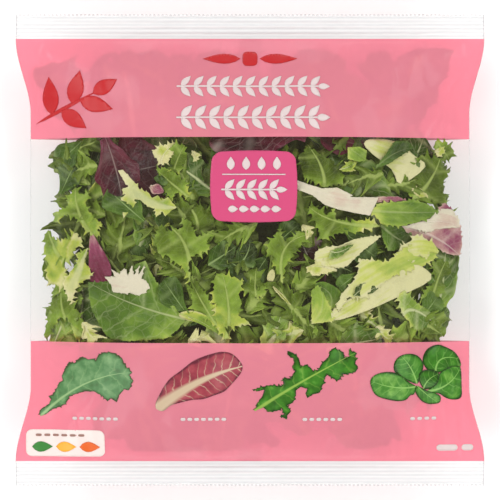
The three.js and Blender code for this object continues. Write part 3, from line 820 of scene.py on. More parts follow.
FRAGMENTS = {
    "frisee_leaves": [
        Fragment(0.62, 2.5, 2.6, (
            (-83, 7.5), (-87, 11.5), (-91, 16.5), (-96.5, 19), (-103, 14.5), (-104.5, 19.5), (-99.5, 21.5),
            (-93, 24.5), (-97, 26), (-92, 33), (-90, 29.5), (-84, 30), (-86.5, 25), (-85, 20.5), (-77, 13),
            (-80, 11), (-78.5, 7))),
        Fragment(0.71, 3.9, 3.5, (
            (-94, -4.5), (-98.5, -6.5), (-99.5, -4), (-98, -9), (-95.5, -15), (-99.5, -20.5), (-105.5, -18),
            (-108.5, -14.5), (-107.5, -9), (-109.5, -0.5), (-109.5, 7), (-107.5, 10.5), (-102, 4.5),
            (-91, 9), (-88, 4.5), (-92, 1))),
        Fragment(0.58, 3.9, 3.1, (
            (-86.5, -46.5), (-92, -46.5), (-96.5, -35.5), (-100.5, -35.5), (-107.5, -46.5), (-109.5, -46.5),
            (-107.5, -35.5), (-105, -25.5), (-99.5, -20), (-95, -23), (-94, -27.5), (-90, -33), (-87, -39))),
        Fragment(0.68, 1.9, 2.2, (
            (-12.5, -46.5), (-17, -41), (-18.5, -35), (-18, -29), (-19.5, -23.5), (-18, -13.5),
            (-14.5, -12), (-3, -16), (-6, -23), (-4.5, -27), (-6, -34), (-0.5, -37.5), (-2, -39),
            (-13.5, -40), (-11, -44.5))),
        Fragment(0.72, 1.6, 0.0, (
            (-37, -33), (-30.5, -31.5), (-23, -34), (-17, -40), (-12.5, -46.5), (-18.5, -42.5), (-27, -38),
            (-35, -35))),
        Fragment(0.56, 2.6, 2.2, (
            (-15.5, -42), (-21, -36.5), (-29, -34), (-30, -26.5), (-32, -14), (-28, -16), (-23, -23),
            (-17, -31.5))),
        Fragment(0.55, 2.5, 2.6, (
            (-30.5, -17.5), (-35, -9.5), (-42.5, -3), (-48, -1.5), (-49.5, 8), (-46, 13.5), (-43, 9.5),
            (-38.5, 11.5), (-33.5, 8.5), (-35.5, 16.5), (-31, 15), (-28, 7), (-19, 10.5), (-22.5, 4.5),
            (-21, 0), (-28.5, -2), (-32, -6.5))),
        Fragment(0.5, 2.5, 2.2, (
            (-31.5, 27), (-38.5, 31), (-40.5, 25), (-44.5, 31), (-43.5, 36.5), (-49, 42), (-45, 43),
            (-38.5, 40), (-33, 35))),
        Fragment(0.36, 4.7, 1.8, (
            (-29.5, 6), (-35.5, 18), (-40, 31), (-33, 27.5), (-19.5, 19.5), (-18, 12.5), (-22.5, 8.5))),
        Fragment(0.45, 3.4, 2.2, (
            (-40, 41), (-42, 48), (-40, 55.5), (-34, 54.5), (-33, 48), (-36, 41.5))),
        Fragment(0.52, 3.4, 3.1, (
            (17, -17.5), (11.5, -6), (8.5, -0.5), (10.5, 4.5), (15.5, 11.5), (18, 4.5), (25.5, 10),
            (31, 8), (24, -1), (18.5, -8.5))),
        Fragment(0.42, 4.7, 3.1, (
            (3.5, -25.5), (-4, -20.5), (-3.5, -11.5), (3.5, -9), (8.5, -18), (8, -23))),
        Fragment(0.58, 3.0, 2.6, (
            (68.5, 12.5), (56, 9.5), (44, 8.5), (38, 5.5), (36, 9.5), (30.5, 22.5), (35, 22), (39.5, 18),
            (44, 22), (44.5, 16.5), (51.5, 15), (61.5, 16))),
        Fragment(0.3, 4.7, 3.1, (
            (38.5, 32.5), (28, 38), (25, 48), (30, 55), (36, 50), (43, 46.5), (48.5, 40), (48.5, 34.5))),
        Fragment(0.36, 4.7, 3.5, (
            (85, 26.5), (83, 29.5), (85, 41.5), (90, 50), (100.5, 48.5), (106.5, 42), (102.5, 36.5),
            (103.5, 24), (95, 24.5))),
        Fragment(0.46, 3.4, 3.0, (
            (98, 57.5), (104.5, 57), (108.5, 52.5), (106, 48), (101.5, 47), (97, 52))),
        Fragment(0.42, 5.6, 3.1, (
            (95, -30.5), (89.5, -24.5), (98, -15.5), (96, -6), (105, -4), (107, -12.5), (103, -21))),
    ],
    "frisee_hearts": [
        Fragment(0.78, 1.7, 1.8, (
            (-96.5, -23.5), (-99, -17.5), (-92.5, -9), (-90, -4.5), (-92, -2), (-85, 1), (-86.5, -6.5),
            (-82.5, -13.5), (-90, -17.5), (-92.5, -23), (-94, -28.5)), rib=0.3),
        Fragment(0.8, 1.1, 0.9, (
            (-69, 41.5), (-66.5, 42), (-60, 35), (-57.5, 31.5), (-53, 30), (-51, 27), (-48, 28.5), (-46, 26),
            (-42.5, 27.5), (-38, 22), (-41, 20.5), (-44, 17.5), (-45.5, 20), (-49, 17), (-49.5, 21.5),
            (-53, 22.5), (-57, 26), (-60, 26.5), (-60.5, 22.5), (-64, 19), (-66, 16.5), (-66.5, 21),
            (-64, 25), (-67.5, 26), (-65, 29), (-67, 31.5), (-63.5, 33), (-66.5, 37)), rib=0.3),
        Fragment(0.93, 2.1, 2.2, (
            (-46, 44), (-48.5, 47), (-51, 51), (-47.5, 54.5), (-39, 56), (-40, 50.5), (-42.5, 46))),
        Fragment(0.93, 2.1, 1.1, ((-30.5, 52), (-26, 50), (-28, 46), (-30, 49))),
        Fragment(1.0, 2.5, 0.0, ((9, -15.5), (9.5, -12), (12, -10), (13, -13.5), (11.5, -16.5))),
        Fragment(0.97, 1.2, 1.1, (
            (45.5, -10.5), (38.5, -12.5), (32.5, -13.5), (29, -9), (34, -7), (35, -1.5), (37, -5.5))),
        Fragment(0.9, 1.9, 0.9, ((97.5, 52.5), (102, 56.5), (103, 51.5), (99, 49))),
        Fragment(0.92, 2.1, 1.5, ((85, 32.5), (89.5, 32.5), (94, 28.5), (89.5, 27.5), (86, 30))),
        Fragment(0.72, 3.0, 1.1, ((46.5, 42), (52, 46.5), (56, 46), (53.5, 41), (49.5, 41))),
    ],
    "escarole_leaves": [
        Fragment(0.46, 2.1, 0.7, (
            (-33.5, -36), (-37.5, -41.5), (-43.5, -46), (-53, -47), (-65, -47.5), (-73, -46.5),
            (-77, -42.5), (-83, -31.5), (-84.5, -23.5), (-85, -17), (-74, -16.5), (-64, -13.5),
            (-59.5, -7.5), (-54.5, -5.5), (-52.5, -10), (-47, -19.5), (-38.5, -30.5)), rib=0.02, veined=0.6),
        Fragment(0.54, 1.7, 1.1, (
            (62.5, 20.5), (68, 24.5), (76.5, 25), (86, 26.5), (94, 24), (100, 20), (94, 16.5), (86, 14),
            (78.5, 12.5), (69, 13.5)), veined=0.3),
        Fragment(0.34, 4.3, 0.7, (
            (68, 13.5), (78.5, 12.5), (85, 9), (86, 3), (80, 0.5), (72.5, -0.5), (69.5, 5.5)), veined=0.4),
        Fragment(0.82, 1.3, 2.0, (
            (44.5, -30.5), (47.5, -23), (54.5, -15.5), (56.5, -10), (56.5, -4.5), (72.5, -6), (76.5, -1.5),
            (85, 3), (90.5, 6), (100, -0.5), (97, -5), (89.5, -9.5), (76.5, -13), (66, -20), (58, -25),
            (51.5, -24.5), (47, -30.5)), veined=0.05),
        Fragment(0.88, 0.8, 1.7, (
            (77, -3), (79, 2), (84, 4.5), (88, 8.5), (92, 6), (97, 3.5), (99.5, -1.5), (95, -1), (93, -5),
            (89, -2.5), (86, -6.5), (83.5, -2.5)), veined=0.05),
        Fragment(0.98, 2.2, 0.0, (
            (90, -8.5), (95.5, -15.5), (76.5, -25), (56, -33.5), (44, -36.5), (43.5, -30.5), (58, -22),
            (76.5, -10), (84, -8)), veined=0.0),
        Fragment(0.7, 1.2, 0.7, (
            (32, -38.5), (32, -21), (35.5, -18), (39.5, -25), (44, -34.5), (43.5, -37)), veined=0.2),
        Fragment(0.5, 3.0, 0.0, (
            (41.5, -30.5), (36.5, -23), (34, -18), (38.5, -16.5), (45.5, -20), (49, -25), (46.5, -29)),
            veined=0.3),
        Fragment(0.97, 2.0, 0.5, (
            (68.5, 7.5), (61.5, 7), (54, 5.5), (46, 2), (39, 1.5), (34, -1), (33.5, -5), (38, -8.5),
            (45, -9.5), (50.5, -8.5), (55, -4), (60, 0.5), (65.5, 4.5)), veined=0.1),
        Fragment(0.97, 3.0, 0.0, (
            (92.5, 44), (79, 34.5), (74, 42.5), (60.5, 53.5), (62.5, 58), (76.5, 57), (86, 50)), veined=0.0),
        Fragment(0.24, 1.1, 0.5, (
            (65, 42.5), (71, 50), (76, 57), (82.5, 57.5), (86, 53.5), (80, 50), (72.5, 45)), veined=0.2),
        Fragment(0.56, 2.4, 0.1, (
            (51, 53.5), (57, 54), (61, 52), (60.5, 47), (57, 46), (51, 47.5)), veined=0.2),
        Fragment(0.54, 3.4, 1.8, (
            (80, -34), (77, -24), (81, -21), (87.5, -27.5), (98, -34), (98.5, -40), (87.5, -42.5))),
        # Dark pieces where holes in the pale ones show the shade beneath: painted shade
        Fragment(0.42, 1.0, 0.4, ((42, -0.5), (48, 1.5), (54, 3), (50, -1), (46, -4), (41, -4.5))),
        Fragment(0.06, 0.8, 1.0, ((54, -24), (55, -19.5), (59.5, -17), (62, -20), (58.5, -23.5))),
        Fragment(0.1, 0.8, 0.8, ((59, -23.5), (62, -18), (67.5, -19), (64, -22.5))),
    ],
    "lambs_lettuce_leaves": [
        # Near-black pieces in the middle of the window: painted shade where the heap lies in shadow
        Fragment(0.1, 4.3, 0.5, ((-22, -8), (-21, 0), (-14, 5), (-7, 2), (-9, -7), (-15, -11))),
        Fragment(0.04, 5.2, 0.4, ((-8, -10), (-7, 0), (0, 6), (4, 0), (2, -9))),
        Fragment(0.12, 6.1, 0.6, ((40, -10), (42, -2), (50, -4), (54, -12), (47, -17))),
    ],
    "radicchio_leaves": [
        Fragment(0.9, 1.0, 0.6, (
            (-52, -19.5), (-57, -24), (-62, -22.5), (-66.5, -22.5), (-71.5, -22), (-72.5, -18), (-76, -14),
            (-70, -14), (-72.5, -10), (-68, -12.5), (-65.5, -9.5), (-63.5, -13.5), (-61.5, -8),
            (-60.5, -13.5), (-57.5, -8), (-58.5, -14), (-55, -8), (-56.5, -15), (-54, -16)), veined=0.0),
        Fragment(0.34, 2.5, 0.0, (
            (-83.5, 8.5), (-79, 3), (-75, -3.5), (-72.5, -10), (-73.5, -16.5), (-79.5, -17), (-84, -16),
            (-84.5, -6)), veined=0.0),
        Fragment(0.88, 1.7, 0.2, (
            (24, 36.5), (31, 34), (37.5, 32), (45.5, 32.5), (53.5, 28.5), (52, 27.5), (67, 27.5),
            (65.5, 24), (62.5, 18), (56, 19), (46.5, 21), (39, 23.5), (32.5, 28.5), (24.5, 31.5)),
            veined=0.2),
        Fragment(0.55, 1.4, 0.7, (
            (61.5, 26.5), (69, 28), (77.5, 28), (82, 26), (72.5, 25), (63.5, 24.5)), veined=0.3),
        Fragment(0.86, 2.5, 0.9, (
            (80, 12.5), (87.5, 14.5), (95, 16.5), (100, 22), (107, 21.5), (111, 16.5), (111.5, 12),
            (102.5, 11.5), (93, 9.5)), veined=0.5),
        Fragment(0.58, 3.0, 0.7, (
            (79.5, 13), (87.5, 11.5), (95, 9.5), (102.5, 12), (112, 13.5), (113, 3), (111.5, -3),
            (104.5, -2), (99.5, 1), (91.5, 4), (85, 6.5)), veined=0.5),
        Fragment(0.42, 2.1, 0.7, ((99.5, 21.5), (103, 25), (107.5, 21.5), (104.5, 19)), veined=0.2),
    ],
}


def leaf_blank(kind):
    """The flat grid that every leaf of a kind starts from, with its leaf map."""
    bm = bmesh.new()
    bm.loops.layers.uv.new("leaf")
    bmesh.ops.create_grid(bm, x_segments=kind.columns, y_segments=kind.rows, size=1.0, calc_uvs=True)
    blank = bpy.data.meshes.new("leaf_blank")
    bm.to_mesh(blank)
    bm.free()
    return blank


def soft_limit(value, limit, ease=9.0):
    """Hold a value within plus or minus limit, easing it in over the last stretch."""
    start = limit - ease
    over = np.maximum(np.abs(value) - start, 0)
    return np.sign(value) * (np.minimum(np.abs(value), start) + ease * np.tanh(over / ease))


class Margin(NamedTuple):
    """What the bumps along a leaf's two sides do to it at each of its places."""

    height: np.ndarray       # how far the margin stands out, from 0 to 1
    turn: np.ndarray         # how far the bump turns about its own middle
    lift: np.ndarray         # how far it lifts out of the blade
    sway: np.ndarray         # how far it leans along the leaf
    spine: np.ndarray        # 1 along the middle of a bump, where a vein runs


def spikes(along, side, count, breadth, seed):
    """Uneven pointed bumps on both sides of a leaf, drawn by a seed.

    breadth is how broad they are, least and most, beside their spacing.
    """
    margin = Margin(*(np.zeros_like(along) for _ in range(5)))
    for which in (0, 1):
        draw = random.Random(2 * seed + which)
        here = side == which
        for i in range(count):
            middle = (i + draw.uniform(0.1, 0.9)) / count
            reach = draw.uniform(*breadth) / count
            tall = draw.uniform(0.3, 1.0)
            turn, lift, sway = (draw.uniform(-1, 1) for _ in range(3))
            off = (along - middle) / reach
            bump = np.where(here, np.clip(1 - np.abs(off), 0, 1), 0.0)
            spine = np.where(here, tall * np.exp(-((along - middle) * count / 0.13) ** 2), 0.0)
            np.maximum(margin.height, tall * bump, out=margin.height)
            np.maximum(margin.spine, spine, out=margin.spine)
            np.add(margin.turn, turn * off * bump, out=margin.turn)
            np.add(margin.lift, lift * bump, out=margin.lift)
            np.add(margin.sway, sway * bump, out=margin.sway)
    return margin


def leaf_outline(kind, leaf, along, side, length, seed):
    """Half-width of the blade as a share of its full one, its lobes, and how far it has spread."""
    spread = smoothstep(along, 0.02, kind.shoulder)
    past = np.clip((along - kind.shoulder) / (1 - kind.shoulder), 0, 1)
    rounded = 0.03 + 0.97 * np.clip(1 - past ** kind.bluntness, 0, 1) ** 0.55
    lobes = spikes(along, side, max(2, round(length / kind.lobe_pitch)), (0.5, 0.9), seed)
    teeth = min(round(length / kind.tooth_pitch), kind.rows // 4)
    tooth = spikes(along, side, max(1, teeth), (0.28, 0.48), seed + 5).height
    depth = kind.lobe_depth * min(leaf.frill, 1.0) * spread
    outline = lerp(kind.stalk, 1.0, spread) * rounded * (1 - depth + depth * lobes.height)
    bite = leaf.frill * kind.tooth / (leaf.width / 2) * spread * rounded * tooth
    return outline + bite * (0.3 + 0.7 * lobes.height), lobes, spread


# How every grown leaf lies. Lengths are in mm.
ARCH = (0.3, 2.2)        # least and most that its ends hang below its middle
CURL = 0.9               # most that it turns about its rib towards an end, in radians
RUFFLED_WIDTH = 20.0     # a leaf narrower than this is ruffled less than its kind
DRIFT = 0.075            # how far its blade wanders beside its width
DRIFT_SPACING = 8.0
SEAL_ROOM = 5.0          # kept free beside each seal
FOLD_ROOM = 4.0          # kept free beside each side fold


def between_films(film, leaf, x, y, up):
    """Height of a leaf that keeps to a layer of its own: pressed flat above, sunk a little below."""
    front, back = film.front(x, y), film.back(x, y)
    clearance = 0.3 + 0.55 * leaf.depth
    sink = 2.2 + 1.2 * leaf.depth
    up = np.where(up < 0, -sink * np.tanh(-up / sink), np.minimum(up, leaf.depth - clearance))
    z = front - leaf.depth + up if leaf.facing > 0 else back + leaf.depth - up
    z = np.minimum(z, front - np.minimum(clearance, (front - back) / 2))
    return np.maximum(z, np.minimum(back + clearance, (front + back) / 2))


def leaf_points(kind, leaf, flat, film, seed):
    """Places in mm of a leaf's grid, kept between the two films, and its side veins there."""
    across, along = flat[:, 0], (flat[:, 1] + 1) / 2
    side = np.where(across < 0, 0, 1)
    edge = np.abs(across)
    chord = np.subtract(leaf.tip, leaf.base)
    length = float(np.hypot(*chord))
    outline, lobes, spread = leaf_outline(kind, leaf, along, side, length, seed)
    off = across * outline * leaf.width / 2
    draw = random.Random(seed)
    phases = [draw.uniform(0, 2 * math.pi) for _ in range(2)]
    arch = draw.uniform(*ARCH)
    curl = draw.uniform(-CURL, CURL)
    phase = np.where(side == 0, *phases)
    # Ruffles run along the margin, and each lobe turns and lifts in its own way
    margin = edge ** 1.5 * spread
    lobed = min(leaf.frill, 1.0)
    frill = leaf.frill * min(1.0, leaf.width / RUFFLED_WIDTH)
    wander = 0.06 * smooth_noise(along * 5, side * 3, seed)
    ripple = 2 * math.pi * length / kind.wave * (along + wander) + phase
    uneven = 0.65 + 0.5 * smooth_noise(along * 6, side * 5 + 1, seed + 3)
    up = frill * kind.ruffle * margin * uneven * np.sin(ripple)
    up = up + frill * kind.twist * edge * (2.2 * lobes.turn + lobes.lift * edge) * spread
    up = up + smooth_noise(along * 3.5 + seed, across * 1.3, seed + 7)
    up = up - arch * (2 * along - 1) ** 2
    lean = kind.lean + 0.5 * lobed * lobes.sway
    go = along * length + lean * np.abs(off) * np.sqrt(edge)
    go = go + 0.4 * frill * kind.ruffle * margin * np.cos(ripple)
    # The blade rolls about its rib, and more and more towards the tip
    roll = leaf.roll + lobed * curl * (along - 0.4)
    up = up + off * np.sin(roll)
    off = off * np.cos(roll)
    # The rib turns by bend from base to tip, about its chord
    heading = leaf.bend * (along - 0.5)
    rib_off = leaf.bend * length * 0.5 * (along ** 2 - along)
    local = np.column_stack([
        go * np.cos(heading * 0.3) - off * np.sin(heading), rib_off + off * np.cos(heading)])
    ahead, left = chord / length
    xy = np.asarray(leaf.base) + local @ np.array([[ahead, left], [-left, ahead]])
    # No two leaves grow alike: their blades wander by a little over a tooth
    drift = DRIFT * leaf.width * np.sqrt(edge)
    u, v = xy.T / DRIFT_SPACING
    x = xy[:, 0] + drift * smooth_noise(u, v, seed + 11)
    y = xy[:, 1] + drift * smooth_noise(u, v, seed + 13)
    y = soft_limit(y, film.fill - SEAL_ROOM)
    x = soft_limit(x, film.half_width(y) - FOLD_ROOM)
    return np.column_stack([x, y, between_films(film, leaf, x, y, up)]), lobes.spine * spread


def from_line(places, line):
    """Distance of each place from a line of points, less than 0 to its right, and the share there."""
    line = np.array(line, dtype=float)
    lengths = np.hypot(*(line[1:] - line[:-1]).T)
    before = np.concatenate([[0], np.cumsum(lengths)])
    nearest = np.full(len(places), np.inf)
    share = np.zeros(len(places))
    for start, end, length, run in zip(line, line[1:], lengths, before):
        step = (end - start) / length
        gone = np.clip((places - start) @ step, 0, length)
        away = places - start - np.outer(gone, step)
        distance = np.hypot(*away.T) * np.where(step[0] * away[:, 1] < step[1] * away[:, 0], -1, 1)
        closer = np.abs(distance) < np.abs(nearest)
        share = np.where(closer, (run + gone) / before[-1], share)
        nearest = np.where(closer, distance, nearest)
    return nearest, share


def turned_left(outline):
    """The same outline from the same corner, run anticlockwise."""
    ends = zip(outline, outline[1:] + outline[:1])
    area = sum(x0 * y1 - x1 * y0 for (x0, y0), (x1, y1) in ends)
    return outline if area > 0 else outline[:1] + outline[:0:-1]


def curved(corners, shares=(0, 1 / 3, 2 / 3)):
    """The same outline as a smooth curve through its corners."""
    here = np.array(corners, dtype=float)
    before, after, beyond = (np.roll(here, step, axis=0) for step in (1, -1, -2))
    slope, next_slope = (after - before) / 2, (beyond - here) / 2
    parts = [
        here + slope * s + (3 * (after - here) - 2 * slope - next_slope) * s ** 2
        + (slope + next_slope - 2 * (after - here)) * s ** 3 for s in shares]
    return [tuple(place) for place in np.stack(parts, axis=1).reshape(-1, 2)]


# The margins of torn pieces, in mm and in shares of their teeth
SPIKE_PITCH = (1.5, 5.0)
SPIKE_HEIGHTS = (0.0, 0.2, 0.5, 0.9, 1.4)
NOTCH = 0.4              # deepest notch between two spikes
SPIKE = ((0.4, 0.12), (0.78, 1.0), (0.84, 0.1))  # place and height of a slim leaning spike's points


def torn_margin(corners, teeth, seed):
    """The outline of a fragment: its corners with spikes and notches between, or rounded."""
    if teeth == 0:
        return curved(corners)
    draw = random.Random(seed)
    points = []
    for (x0, y0), (x1, y1) in zip(corners, corners[1:] + corners[:1]):
        length = math.dist((x0, y0), (x1, y1))
        gone = 0.0
        while gone < length - 0.3:
            step = min(draw.uniform(*SPIKE_PITCH), length - gone)
            notch = -teeth * draw.uniform(0, NOTCH) if gone else 0.0
            room = 0.3 + 0.9 * min(gone + step, length - gone)
            height = min(teeth * draw.choice(SPIKE_HEIGHTS), room)
            for place, out in ((0, notch), *((place, share * height) for place, share in SPIKE)):
                share = (gone + place * step) / length
                x, y = lerp(x0, x1, share), lerp(y0, y1, share)
                if place == 0 or step > 1.2:
                    points.append((x + out * (y1 - y0) / length, y - out * (x1 - x0) / length))
            gone += step
    return points


POINTED = 0.9            # turn at a corner, in radians, that makes it a lobe's tip
FAR_FROM_RIB = 3.0       # mm beyond which such a tip has a vein
VEIN_LEAD = 0.15         # share of the rib by which its vein starts before it


def lobe_veins(corners, rib):
    """Straight veins from the rib to each pointed corner that lies well off it."""
    veins = []
    shares = np.linspace(0, 1, len(rib))
    for before, corner, after in zip(corners[-1:] + corners[:-1], corners, corners[1:] + corners[:1]):
        a, b = np.subtract(corner, before), np.subtract(after, corner)
        turn = math.atan2(a[0] * b[1] - a[1] * b[0], float(a @ b))
        distance, share = from_line(np.array([corner], dtype=float), rib)
        if turn > POINTED and abs(distance[0]) > FAR_FROM_RIB:
            start = max(share[0] - VEIN_LEAD, 0.0)
            veins.append(([np.interp(start, shares, rib[:, axis]) for axis in (0, 1)], corner))
    return veins


def fragment_rib(corners):
    """A rib from the first corner to the farthest one, bent evenly through the middle."""
    far = max(corners, key=lambda corner: math.dist(corner, corners[0]))
    stalk, middle, tip = np.array([corners[0], np.mean(corners, axis=0), far])
    along = np.linspace(0, 1, 9)[:, None]
    return lerp(stalk, tip, along) + 4 * along * (1 - along) * (middle - (stalk + tip) / 2)


# How torn pieces lie, in mm
WAVES = ((1.8, 9.0), (0.8, 4.0))   # height and spacing of their waves, large and small
MARGIN_WAVE = 0.4                  # of a smooth margin. Teeth add their length
MARGIN_WIDTH, MARGIN_SPACING = 3.0, 4.0
RIB_GROOVE, RIB_WIDTH = 0.4, 2.0
VEIN_WIDTH = 0.9
MESH_SPACING = 1.25


def fragment_waves(fragment, x, y, off_rib, from_edge, seed):
    """How far a torn piece stands off its layer, within half of its depth either way."""
    up = -RIB_GROOVE * np.exp(-(off_rib / RIB_WIDTH) ** 2)
    for number, (height, spacing) in enumerate(WAVES):
        up = up + height * smooth_noise(x / spacing, y / spacing, seed + number)
    ruffle = (MARGIN_WAVE + fragment.teeth) * np.exp(-from_edge / MARGIN_WIDTH)
    up = up + ruffle * smooth_noise(x / MARGIN_SPACING, y / MARGIN_SPACING, seed + 2)
    room, sag = 0.5 * fragment.depth - 0.3, 0.5 * fragment.depth + 0.3
    return np.where(up > 0, room * np.tanh(up / room), sag * np.tanh(up / sag))


def lay_fragment(bm, fragment, film, seed, lift=None):
    """Lay a torn piece of leaf under the front film, or print it on the film at a lift."""
    corners = turned_left(list(fragment.outline))
    margin = torn_margin(corners, fragment.teeth, seed)
    verts, faces = fill_outline(bm, margin, MESH_SPACING)
    places = np.array([v.co[:2] for v in verts])
    x, y = places.T
    rib = fragment_rib(corners)
    off_rib, along = from_line(places, rib)
    from_edge = np.abs(from_line(places, margin + margin[:1])[0])
    branch = np.zeros(len(verts))
    for vein in lobe_veins(corners, rib):
        branch = np.maximum(branch, np.exp(-(from_line(places, vein)[0] / VEIN_WIDTH) ** 2))
    if lift is None:
        # Painted light: the torn margin is paler, as if lit through, and the crests lighter and the hollows
        # darker
        up = fragment_waves(fragment, x, y, off_rib, from_edge, seed)
        z = film.front(x, y) - fragment.depth + up
        shade = 0.1 * np.exp(-from_edge / 0.9) + 0.055 * up
    else:
        # A picture has a dark outline
        z = film.front(x, y) + lift + 0.03 * fragment.depth
        shade = -0.5 * np.exp(-from_edge / 0.5)
    half = np.abs(off_rib).max()
    marks = [bm.verts.layers.float[mark] for mark in LEAF_MARKS]
    leaf_map = bm.loops.layers.uv["leaf"]
    maps = {}
    for i, vertex in enumerate(verts):
        vertex.co.z = z[i]
        values = (fragment.tone + shade[i], fragment.rib, fragment.veined, branch[i])
        for mark, value in zip(marks, values):
            vertex[mark] = value
        maps[vertex] = (0.5 + 0.5 * off_rib[i] / half, along[i])
    for face in faces:
        for loop in face.loops:
            loop[leaf_map].uv = maps[loop.vert]


def start_leaves():
    """An empty bmesh with the leaf map and the marks that the leaf materials read."""
    bm = bmesh.new()
    bm.loops.layers.uv.new("leaf")
    for mark in LEAF_MARKS:
        bm.verts.layers.float.new(mark)
    return bm


def lay_fragments(bm, fragments, film, seed, lift=None):
    """Lay or print torn pieces, each with a seed of its own."""
    for number, fragment in enumerate(fragments):
        lay_fragment(bm, fragment, film, seed + number, lift)


def lay_leaves(bm, kind, leaves, film, seed):
    """Lay leaves of one kind, each from the kind's blank grid and with a seed of its own."""
    blank = leaf_blank(kind)
    flat = np.array([v.co[:2] for v in blank.vertices])
    marks = [bm.verts.layers.float[mark] for mark in LEAF_MARKS]
    for number, leaf in enumerate(leaves):
        before = len(bm.verts)
        bm.from_mesh(blank)
        bm.verts.ensure_lookup_table()
        points, spine = leaf_points(kind, leaf, flat, film, seed + number)
        for vertex, point, branch in zip(bm.verts[before:], points, spine):
            vertex.co = point
            for mark, value in zip(marks, (leaf.tone, leaf.rib or kind.rib, leaf.veined, branch)):
                vertex[mark] = value
    bpy.data.meshes.remove(blank)


class Scatter(NamedTuple):
    """How the unplaced leaves of a kind are drawn: least and most of each number, in mm."""

    kind: Kind
    length: tuple
    width: tuple
    tone: tuple
    depth: tuple = (6.5, 15)     # behind the front film


SCATTERS = {
    "frisee_leaves": Scatter(FRISEE, (40, 70), (22, 32), (0.2, 0.5)),
    "frisee_outer_leaves": Scatter(OUTER_FRISEE, (50, 85), (26, 38), (0.08, 0.36)),
    "frisee_hearts": Scatter(FRISEE, (30, 50), (14, 22), (0.65, 0.9)),
    "escarole_leaves": Scatter(ESCAROLE, (50, 80), (28, 42), (0.15, 0.45)),
    "radicchio_leaves": Scatter(RADICCHIO, (35, 55), (20, 30), (0.0, 0.15), (12, 17)),
    "lambs_lettuce_leaves": Scatter(LAMBS_LETTUCE, (20, 34), (12, 18), (0.1, 0.32)),
}
BACK_DEPTH = (1, 6)      # of the leaves that lie against the back film
FRONT_SHARE = 0.75       # of the unplaced leaves, which lie towards the front
HEARTS = 8               # unplaced hearts of curly endive
HEAP_SIDE, HEAP_END = 30.0, 20.0  # mm from a fold or a seal to the heap's thick middle
BEND, ROLL = 0.7, 0.5    # most of an unplaced leaf, in radians


def scattered(draw, film, count, scatter, facing, depths):
    """Leaves laid by seeded draws over the whole heap, behind the placed ones."""
    leaves = []
    for _ in range(count):
        y = draw.uniform(HEAP_END - film.fill, film.fill - HEAP_END)
        reach = film.half_width(y) - HEAP_SIDE
        x = draw.uniform(-reach, reach)
        turn = draw.uniform(0, 2 * math.pi)
        half = draw.uniform(*scatter.length) / 2
        step = (half * math.cos(turn), half * math.sin(turn))
        leaves.append(Leaf(
            (x - step[0], y - step[1]), (x + step[0], y + step[1]), draw.uniform(*scatter.width),
            draw.uniform(*scatter.tone), draw.uniform(*depths), bend=draw.uniform(-BEND, BEND),
            roll=draw.uniform(-ROLL, ROLL), facing=facing))
    return leaves


def make_core(film):
    """A lumpy body of packed leaves, inset from the film, that closes the gaps in the heap."""
    below_front, above_back, least = 18, 3, 2  # least is its height where the heap thins out
    bm = bmesh.new()
    bmesh.ops.create_icosphere(bm, subdivisions=5, radius=1.0)
    ball = np.array([v.co[:] for v in bm.verts])
    square = np.sign(ball) * np.abs(ball) ** 0.75
    y = square[:, 1] * (film.fill - HEAP_END)
    x = square[:, 0] * (film.half_width(y) - HEAP_SIDE)
    lump = 3.0 * smooth_noise(x / 9, y / 9, 41) + 1.5 * smooth_noise(x / 4, y / 4, 43)
    bottom = film.back(x, y) + above_back
    top = np.maximum(film.front(x, y) - below_front + lump, bottom + least)
    z = lerp(bottom, top, 0.5 + 0.5 * square[:, 2])
    for vertex, place in zip(bm.verts, np.column_stack([x, y, z])):
        vertex.co = place
    return add_piece("leaf_core", bm, [core_material()])


# The print. A lift is a height in mm over the front film, so that one ink lies on another.

FIELD_LIFT = 0.16        # a field of ink that carries marks
LINE_LIFT = 0.18         # pictures, dashes and a stem
MARK_LIFT = 0.2          # marks straight on the film, which may cross a stem
TOP_LIFT = 0.36          # marks on a field
INK = 0.05 * MM          # thickness of a coat
PICTURE_INK = 0.02 * MM
PRINT_SPACING = 1.5      # widest triangle of a mark, in mm


def rounded_square(centre, half_size, radius, bulge, steps=7):
    """Outline of a square with round corners and sides that swell by bulge."""
    points = []
    for corner in range(4):
        turn = corner * math.pi / 2
        sx = 1 if corner in (0, 3) else -1
        sy = 1 if corner in (0, 1) else -1
        for i in range(steps + 1):
            angle = turn + math.pi / 2 * i / steps
            points.append((
                sx * (half_size[0] - radius) + radius * math.cos(angle),
                sy * (half_size[1] - radius) + radius * math.sin(angle)))
    swollen = []
    for (x0, y0), (x1, y1) in zip(points, points[1:] + points[:1]):
        for share in (0, 0.25, 0.5, 0.75) if math.dist((x0, y0), (x1, y1)) > 4 else (0,):
            x, y = lerp(x0, x1, share), lerp(y0, y1, share)
            wide = 1 + bulge * (1 - (y / half_size[1]) ** 2)
            tall = 1 + bulge * (1 - (x / half_size[0]) ** 2)
            swollen.append((centre[0] + x * wide, centre[1] + y * tall))
    return swollen


def petal(base, tip, width, steps=7):
    """Outline of a plain pointed leaf, from its base round both of its sides."""
    (x0, y0), (x1, y1) = base, tip
    length = math.dist(base, tip)
    points = []
    for i in range(2 * steps):
        share = i / steps if i <= steps else 2 - i / steps
        half = width / 2 * math.sin(math.pi * share ** 0.8) * (1 if i < steps else -1)
        points.append((
            lerp(x0, x1, share) - half * (y1 - y0) / length,
            lerp(y0, y1, share) + half * (x1 - x0) / length))
    return points


def lay_print(bm, outline, film, lift, material_index=0):
    """Lay a flat outline on the front film, cut finely enough to follow it."""
    verts, faces = fill_outline(bm, outline, PRINT_SPACING)
    for vertex in verts:
        vertex.co.z = float(film.front(vertex.co.x, vertex.co.y)) + lift
    for face in faces:
        face.material_index = material_index


